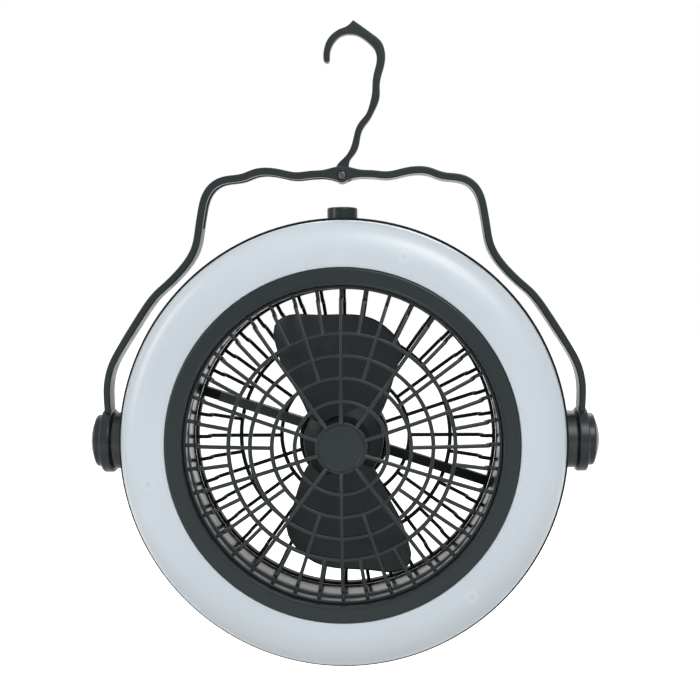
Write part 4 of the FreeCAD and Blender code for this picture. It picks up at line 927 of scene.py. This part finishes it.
def milky(name, tint):
    """Milky plastic of the light: cloudy translucent colour, soft gloss and, over each of the three posts, a
    faint painted light round with painted shade in its middle, where the post shows through the wall."""
    material, tree, shader, place = new_finish(name)
    cloud = noise(tree, place, 70.0 * MM, 0.0)
    base = mixed(tree, cloud, scaled(tint, 0.95), scaled(tint, 1.05))
    flat = tree.nodes.new("ShaderNodeVectorMath")
    flat.operation = "MULTIPLY"
    flat.inputs[1].default_value = (1, 0, 1)
    tree.links.new(place, flat.inputs[0])
    # Painted light and shade of each post showing through the milky wall: a lighter round, a darker dot inside
    painted_light_round = (0.8, 0.0, 2.8 * MM, 3.8 * MM, 1.06)
    painted_shade_dot = (0.9, 0.0, 0.9 * MM, 1.7 * MM, 0.96)
    for angle in POST_ANGLES:
        turn = math.radians(angle)
        away = tree.nodes.new("ShaderNodeVectorMath")
        away.operation = "DISTANCE"
        away.inputs[1].default_value = (
            POST_CIRCLE_R * math.sin(turn), 0, POST_CIRCLE_R * math.cos(turn) + AXIS_Z)
        tree.links.new(flat.outputs["Vector"], away.inputs[0])
        for inside, outside, full_r, end_r, share in (painted_light_round, painted_shade_dot):
            mark = ranged(tree, away.outputs["Value"], inside, outside, full_r, end_r, True)
            base = mixed(tree, mark, base, scaled(tint, share))
    tree.links.new(base, shader.inputs["Base Color"])
    shader.inputs["Subsurface Weight"].default_value = 0.25
    shader.inputs["Subsurface Radius"].default_value = (1.0, 1.0, 1.0)
    shader.inputs["Subsurface Scale"].default_value = 3.0 * MM
    satin = ranged(tree, noise(tree, place, 30.0 * MM, 0.0), 0.3, 0.36, 0.0, 1.0)
    tree.links.new(satin, shader.inputs["Roughness"])
    shader.inputs["Specular IOR Level"].default_value = 0.5
    grained(tree, shader, noise(tree, place, 0.8 * MM, 1.0), 0.04, 0.01 * MM)
    return material


def circuit(name, tint, copper):
    """Circuit board: solder mask over a grid of tracks that shows as lighter lines."""
    material, tree, shader, place = new_finish(name)
    brick = tree.nodes.new("ShaderNodeTexBrick")
    brick.inputs["Scale"].default_value = 1 / (6.0 * MM)
    brick.inputs["Mortar Size"].default_value = 0.05
    brick.inputs["Color1"].default_value = (*tint, 1.0)
    brick.inputs["Color2"].default_value = (*scaled(tint, 0.85), 1.0)
    brick.inputs["Mortar"].default_value = (*copper, 1.0)
    tree.links.new(place, brick.inputs["Vector"])
    tree.links.new(brick.outputs["Color"], shader.inputs["Base Color"])
    tree.links.new(ranged(tree, noise(tree, place, 1.0 * MM), 0.25, 0.4), shader.inputs["Roughness"])
    grained(tree, shader, brick.outputs["Fac"], 0.2, 0.03 * MM)
    return material


def wrapped_cell(name, tint):
    """Shrink wrap: glossy film whose ripples vary its colour and gloss."""
    material, tree, shader, place = new_finish(name)
    ripple = noise(tree, place, 3.0 * MM, 1.0)
    tree.links.new(mixed(tree, ripple, scaled(tint, 0.8), scaled(tint, 1.2)), shader.inputs["Base Color"])
    tree.links.new(ranged(tree, ripple, 0.15, 0.3), shader.inputs["Roughness"])
    grained(tree, shader, ripple, 0.2, 0.1 * MM)
    return material


# The finish of each of the record's material slots, and of the nodes that differ from theirs
SLOT_FINISH = {
    "dark_plastic": "Body plastic",
    "blade_plastic": "Blade plastic",
    "milky_plastic": "Milky plastic",
    "inner_plastic": "Inner plastic",
    "zinc_steel": "Zinc steel",
    "bronze": "Sintered bronze",
    "magnet": "Dark magnet",
    "cell_wrap": "Cell wrap",
    "board_white": "White board",
    "board_green": "Green board",
    "diode_yellow": "Diode lens",
}
NODE_FINISH = {"front_shell": "Front housing plastic", "rear_shell": "Rear housing plastic"}


def finishes(colours):
    """All finishes by name, made once."""
    made = bpy.data.materials
    if "Body plastic" not in made:
        # The body plastic has a painted highlight along its pointed edges
        moulded("Body plastic", colours.body, painted_highlight=True)
        moulded("Front housing plastic", colours.body, gloss=0.1, parted=True)
        moulded("Rear housing plastic", colours.body, rough=0.2, gloss=0.5, parted=True)
        # Painted shade: the rear guard gets the body plastic made darker, as it lies in shadow behind the fan
        moulded("Rear guard plastic with painted shade", scaled(colours.body, 0.45), rough=0.5, gloss=0.12)
        moulded("Blade plastic", colours.blade, rough=0.42, grain=0.6 * MM, strength=0.05, gloss=0.28)
        moulded("Inner plastic", colours.inner, rough=0.5)
        milky("Milky plastic", colours.light)
        plated("Zinc steel", colours.steel)
        plated("Dark screw steel", scaled(colours.steel, 0.15), rough=0.35)
        plated("Sintered bronze", colours.bronze, rough=0.45)
        plated("Dark magnet", colours.magnet, rough=0.55, metallic=0.6)
        wrapped_cell("Cell wrap", colours.cell)
        circuit("White board", colours.light_board, scaled(colours.light_board, 0.8))
        circuit("Green board", colours.board, (0.35, 0.30, 0.08))
        moulded("Diode lens", colours.diode, rough=0.2, grain=0.25 * MM, gloss=0.5)
    return made


# Camera, lights and floor

CAMERA_PLACE = (22.7 * MM, -605.0 * MM, -131.3 * MM)
CAMERA_TARGET = (4.3 * MM, -30.0 * MM, -154.9 * MM)
CAMERA_ANGLE = 32.4
CAMERA_ROLL = -0.4
WORLD_LEVEL = 0.30
FLOOR_DROP = 120.0 * MM
FLOOR_R = 9.0

# The floor's glow: how strong it is under the fan, and from where to where it grows to white
GLOW_NEAR = 0.38
GLOW_FROM = 430.0 * MM
GLOW_FULL = 750.0 * MM


def aim(thing, place, target, roll=0.0):
    """Places a camera or lamp and points it at a target."""
    facing = (Vector(target) - Vector(place)).to_track_quat("-Z", "Y").to_matrix()
    turned = facing @ Matrix.Rotation(math.radians(roll), 3, "Z")
    thing.matrix_world = Matrix.Translation(place) @ turned.to_4x4()


def lamp(name, place, width, height, power):
    """White soft box that faces the middle of the fan."""
    data = bpy.data.lights.new(name, "AREA")
    data.shape = "RECTANGLE"
    data.size = width
    data.size_y = height
    data.energy = power
    thing = bpy.data.objects.new(name, data)
    bpy.context.scene.collection.objects.link(thing)
    aim(thing, place, (0, 0, AXIS_Z))


def seen_share(tree):
    """One for rays from the camera, from gloss and through glass, and nought for others."""
    path = tree.nodes.new("ShaderNodeLightPath")
    share = path.outputs["Is Camera Ray"]
    for other in ("Is Glossy Ray", "Is Transmission Ray"):
        larger = tree.nodes.new("ShaderNodeMath")
        larger.operation = "MAXIMUM"
        tree.links.new(share, larger.inputs[0])
        tree.links.new(path.outputs[other], larger.inputs[1])
        share = larger.outputs["Value"]
    return share


def white_world(level):
    """World that is white where it is seen and lights the fan at a lower level."""
    world = bpy.data.worlds.new("White room")
    bpy.context.scene.world = world
    world.use_nodes = True
    tree = world.node_tree
    background = tree.nodes["Background"]
    background.inputs["Color"].default_value = (1.0, 1.0, 1.0, 1.0)
    strength = ranged(tree, seen_share(tree), level, 1.0, 0.0, 1.0)
    tree.links.new(strength, background.inputs["Strength"])


def floor_finish(tint):
    """Pale floor: what it scatters, with its shadows, plus a glow that only shows and lights nothing."""
    material, tree, shader, place = new_finish("Pale floor")
    cloud = noise(tree, place, 400.0 * MM)
    tree.links.new(mixed(tree, cloud, scaled(tint, 0.98), scaled(tint, 1.02)), shader.inputs["Base Color"])
    shader.inputs["Roughness"].default_value = 0.9
    shader.inputs["Specular IOR Level"].default_value = 0.0
    shader.inputs["Emission Color"].default_value = (1.0, 1.0, 1.0, 1.0)
    away = tree.nodes.new("ShaderNodeVectorMath")
    away.operation = "LENGTH"
    tree.links.new(place, away.inputs[0])
    level = ranged(tree, away.outputs["Value"], GLOW_NEAR, 1.0, GLOW_FROM, GLOW_FULL, True)
    glow = tree.nodes.new("ShaderNodeMath")
    glow.operation = "MULTIPLY"
    tree.links.new(level, glow.inputs[0])
    tree.links.new(seen_share(tree), glow.inputs[1])
    tree.links.new(glow.outputs["Value"], shader.inputs["Emission Strength"])
    return material


def floor_mesh(height):
    """Round floor: a polar grid whose rings widen as the square of their number."""
    rings, spokes = 24, 64
    radius = np.linspace(0, 1, rings) ** 2 * FLOOR_R
    turn = np.linspace(0, 2 * np.pi, spokes, endpoint=False)[:, None]
    level = np.full((spokes, rings), height - AXIS_Z)
    grid = np.stack((radius * np.cos(turn), radius * np.sin(turn), level), -1)
    return mesh_of("pale_floor", [Skin(grid, True, False)])


# Operators

class FanOperator:
    """What every operator here has in common"""

    bl_options = {"REGISTER", "UNDO"}

    def sizes(self, context):
        return context.scene.fan_sizes

    def finish(self, context, name):
        return finishes(context.scene.fan_colours)[name]


class FAN_OT_stage(FanOperator, Operator):
    """Add the camera, the soft lights, the white room and the pale floor"""

    bl_idname = "fan.stage"
    bl_label = "Stage"

    def execute(self, context):
        camera = bpy.data.cameras.new("Camera")
        camera.angle = math.radians(CAMERA_ANGLE)
        camera.clip_start = 0.01
        view = bpy.data.objects.new("Camera", camera)
        context.scene.collection.objects.link(view)
        context.scene.camera = view
        aim(view, CAMERA_PLACE, CAMERA_TARGET, CAMERA_ROLL)
        lamp("Key", (0.45, -1.0, 0.7), 0.7, 0.7, 12.0)
        lamp("Side", (-1.0, -0.5, 0.2), 0.15, 0.7, 4.0)
        lamp("Back", (0.2, 1.2, 0.8), 1.0, 0.8, 6.0)
        white_world(WORLD_LEVEL)
        context.scene.view_settings.view_transform = "Standard"
        mesh = floor_mesh(cad_box[0][2] - FLOOR_DROP)
        mesh.materials.append(floor_finish(context.scene.fan_colours.floor))
        floor = bpy.data.objects.new("pale_floor", mesh)
        context.scene.collection.objects.link(floor)
        return {"FINISHED"}


class FAN_OT_guards(FanOperator, Operator):
    """Model the domed front guard and the flat rear guard"""

    bl_idname = "fan.guards"
    bl_label = "Guards"

    def execute(self, context):
        sizes = self.sizes(context)
        dark = self.finish(context, "Body plastic")
        # The rear guard's finish is the body plastic darkened, a painted shade
        darker = self.finish(context, "Rear guard plastic with painted shade")
        add_piece(front_guard(sizes), "fan_body", "dark_plastic", dark, "front_grille")
        add_piece(rear_guard(sizes), "fan_body", "dark_plastic", darker, "rear_grille")
        return {"FINISHED"}


class FAN_OT_front(FanOperator, Operator):
    """Model the dark bezel and the milky light ring"""

    bl_idname = "fan.front"
    bl_label = "Bezel and light"

    def execute(self, context):
        sizes = self.sizes(context)
        dark = self.finish(context, "Body plastic")
        light = self.finish(context, "Milky plastic")
        add_piece(bezel(sizes), "fan_body", "dark_plastic", dark, "front_bezel")
        add_piece(light_ring(sizes), "fan_body", "milky_plastic", light, "light_diffuser")
        return {"FINISHED"}


class FAN_OT_impeller(FanOperator, Operator):
    """Model the impeller with its two twisted blades"""

    bl_idname = "fan.impeller"
    bl_label = "Impeller"

    def execute(self, context):
        finish = self.finish(context, "Blade plastic")
        add_piece(impeller(self.sizes(context)), "impeller", "blade_plastic", finish, "fan_blade")
        return {"FINISHED"}


class FAN_OT_handle(FanOperator, Operator):
    """Model the waved handle and the caps over its pivots"""

    bl_idname = "fan.handle"
    bl_label = "Handle"

    def execute(self, context):
        dark = self.finish(context, "Body plastic")
        add_piece(handle(self.sizes(context)), "handle", "dark_plastic", dark, "handle")
        cap = pivot_cap()
        for side, skin in (("right", cap), ("left", mirrored(cap))):
            add_piece(mesh_of("cap_" + side, [skin]), "handle", "dark_plastic", dark, "pivot_cap_" + side)
        return {"FINISHED"}


class FAN_OT_hook(FanOperator, Operator):
    """Model the folding hook and its screw"""

    bl_idname = "fan.hook"
    bl_label = "Hook"

    def execute(self, context):
        dark = self.finish(context, "Body plastic")
        steel = self.finish(context, "Dark screw steel")
        add_piece(hook(self.sizes(context)), "hook", "dark_plastic", dark, "hook")
        add_piece(hook_screw(), "handle", "zinc_steel", steel, "hook_screw")
        return {"FINISHED"}


class FAN_OT_knob(FanOperator, Operator):
    """Model the control knob"""

    bl_idname = "fan.knob"
    bl_label = "Knob"

    def execute(self, context):
        dark = self.finish(context, "Body plastic")
        add_piece(knob(self.sizes(context)), "knob", "dark_plastic", dark, "control_knob")
        return {"FINISHED"}


class FAN_OT_finish(FanOperator, Operator):
    """Give every piece of the frame its own finish or that of its material slot"""

    bl_idname = "fan.finish"
    bl_label = "Finish the frame"

    def execute(self, context):
        for subpart in frame["record"]["subparts"]:
            node = frame["nodes"][subpart["node"]]
            of_slot = SLOT_FINISH[subpart["material_slot"]]
            finish = self.finish(context, NODE_FINISH.get(subpart["node"], of_slot))
            if node.material_slots:
                for slot in node.material_slots:
                    slot.material = finish
            else:
                node.data.materials.append(finish)
        return {"FINISHED"}


OPERATORS = (
    FAN_OT_stage, FAN_OT_finish, FAN_OT_front, FAN_OT_guards, FAN_OT_impeller, FAN_OT_handle, FAN_OT_hook,
    FAN_OT_knob,
)


class FAN_PT_panel(Panel):
    """Sizes, colours and pieces of the camping fan"""

    bl_label = "Camping Fan"
    bl_idname = "FAN_PT_panel"
    bl_space_type = "VIEW_3D"
    bl_region_type = "UI"
    bl_category = "Camping Fan"

    def draw(self, context):
        for operator in OPERATORS:
            self.layout.operator(operator.bl_idname)
        for group in (context.scene.fan_sizes, context.scene.fan_colours):
            box = self.layout.box()
            # The first two properties are the ones that every group has
            for name in group.bl_rna.properties.keys()[2:]:
                box.prop(group, name)


CLASSES = (FanSizes, FanColours) + OPERATORS + (FAN_PT_panel,)


def register():
    for item in CLASSES:
        bpy.utils.register_class(item)
    bpy.types.Scene.fan_sizes = PointerProperty(type=FanSizes)
    bpy.types.Scene.fan_colours = PointerProperty(type=FanColours)


def unregister():
    del bpy.types.Scene.fan_colours
    del bpy.types.Scene.fan_sizes
    for item in reversed(CLASSES):
        bpy.utils.unregister_class(item)


def main():
    register()
    for operator in OPERATORS:
        group, name = operator.bl_idname.split(".")
        getattr(getattr(bpy.ops, group), name)()


if __name__ == "__main__":
    main()
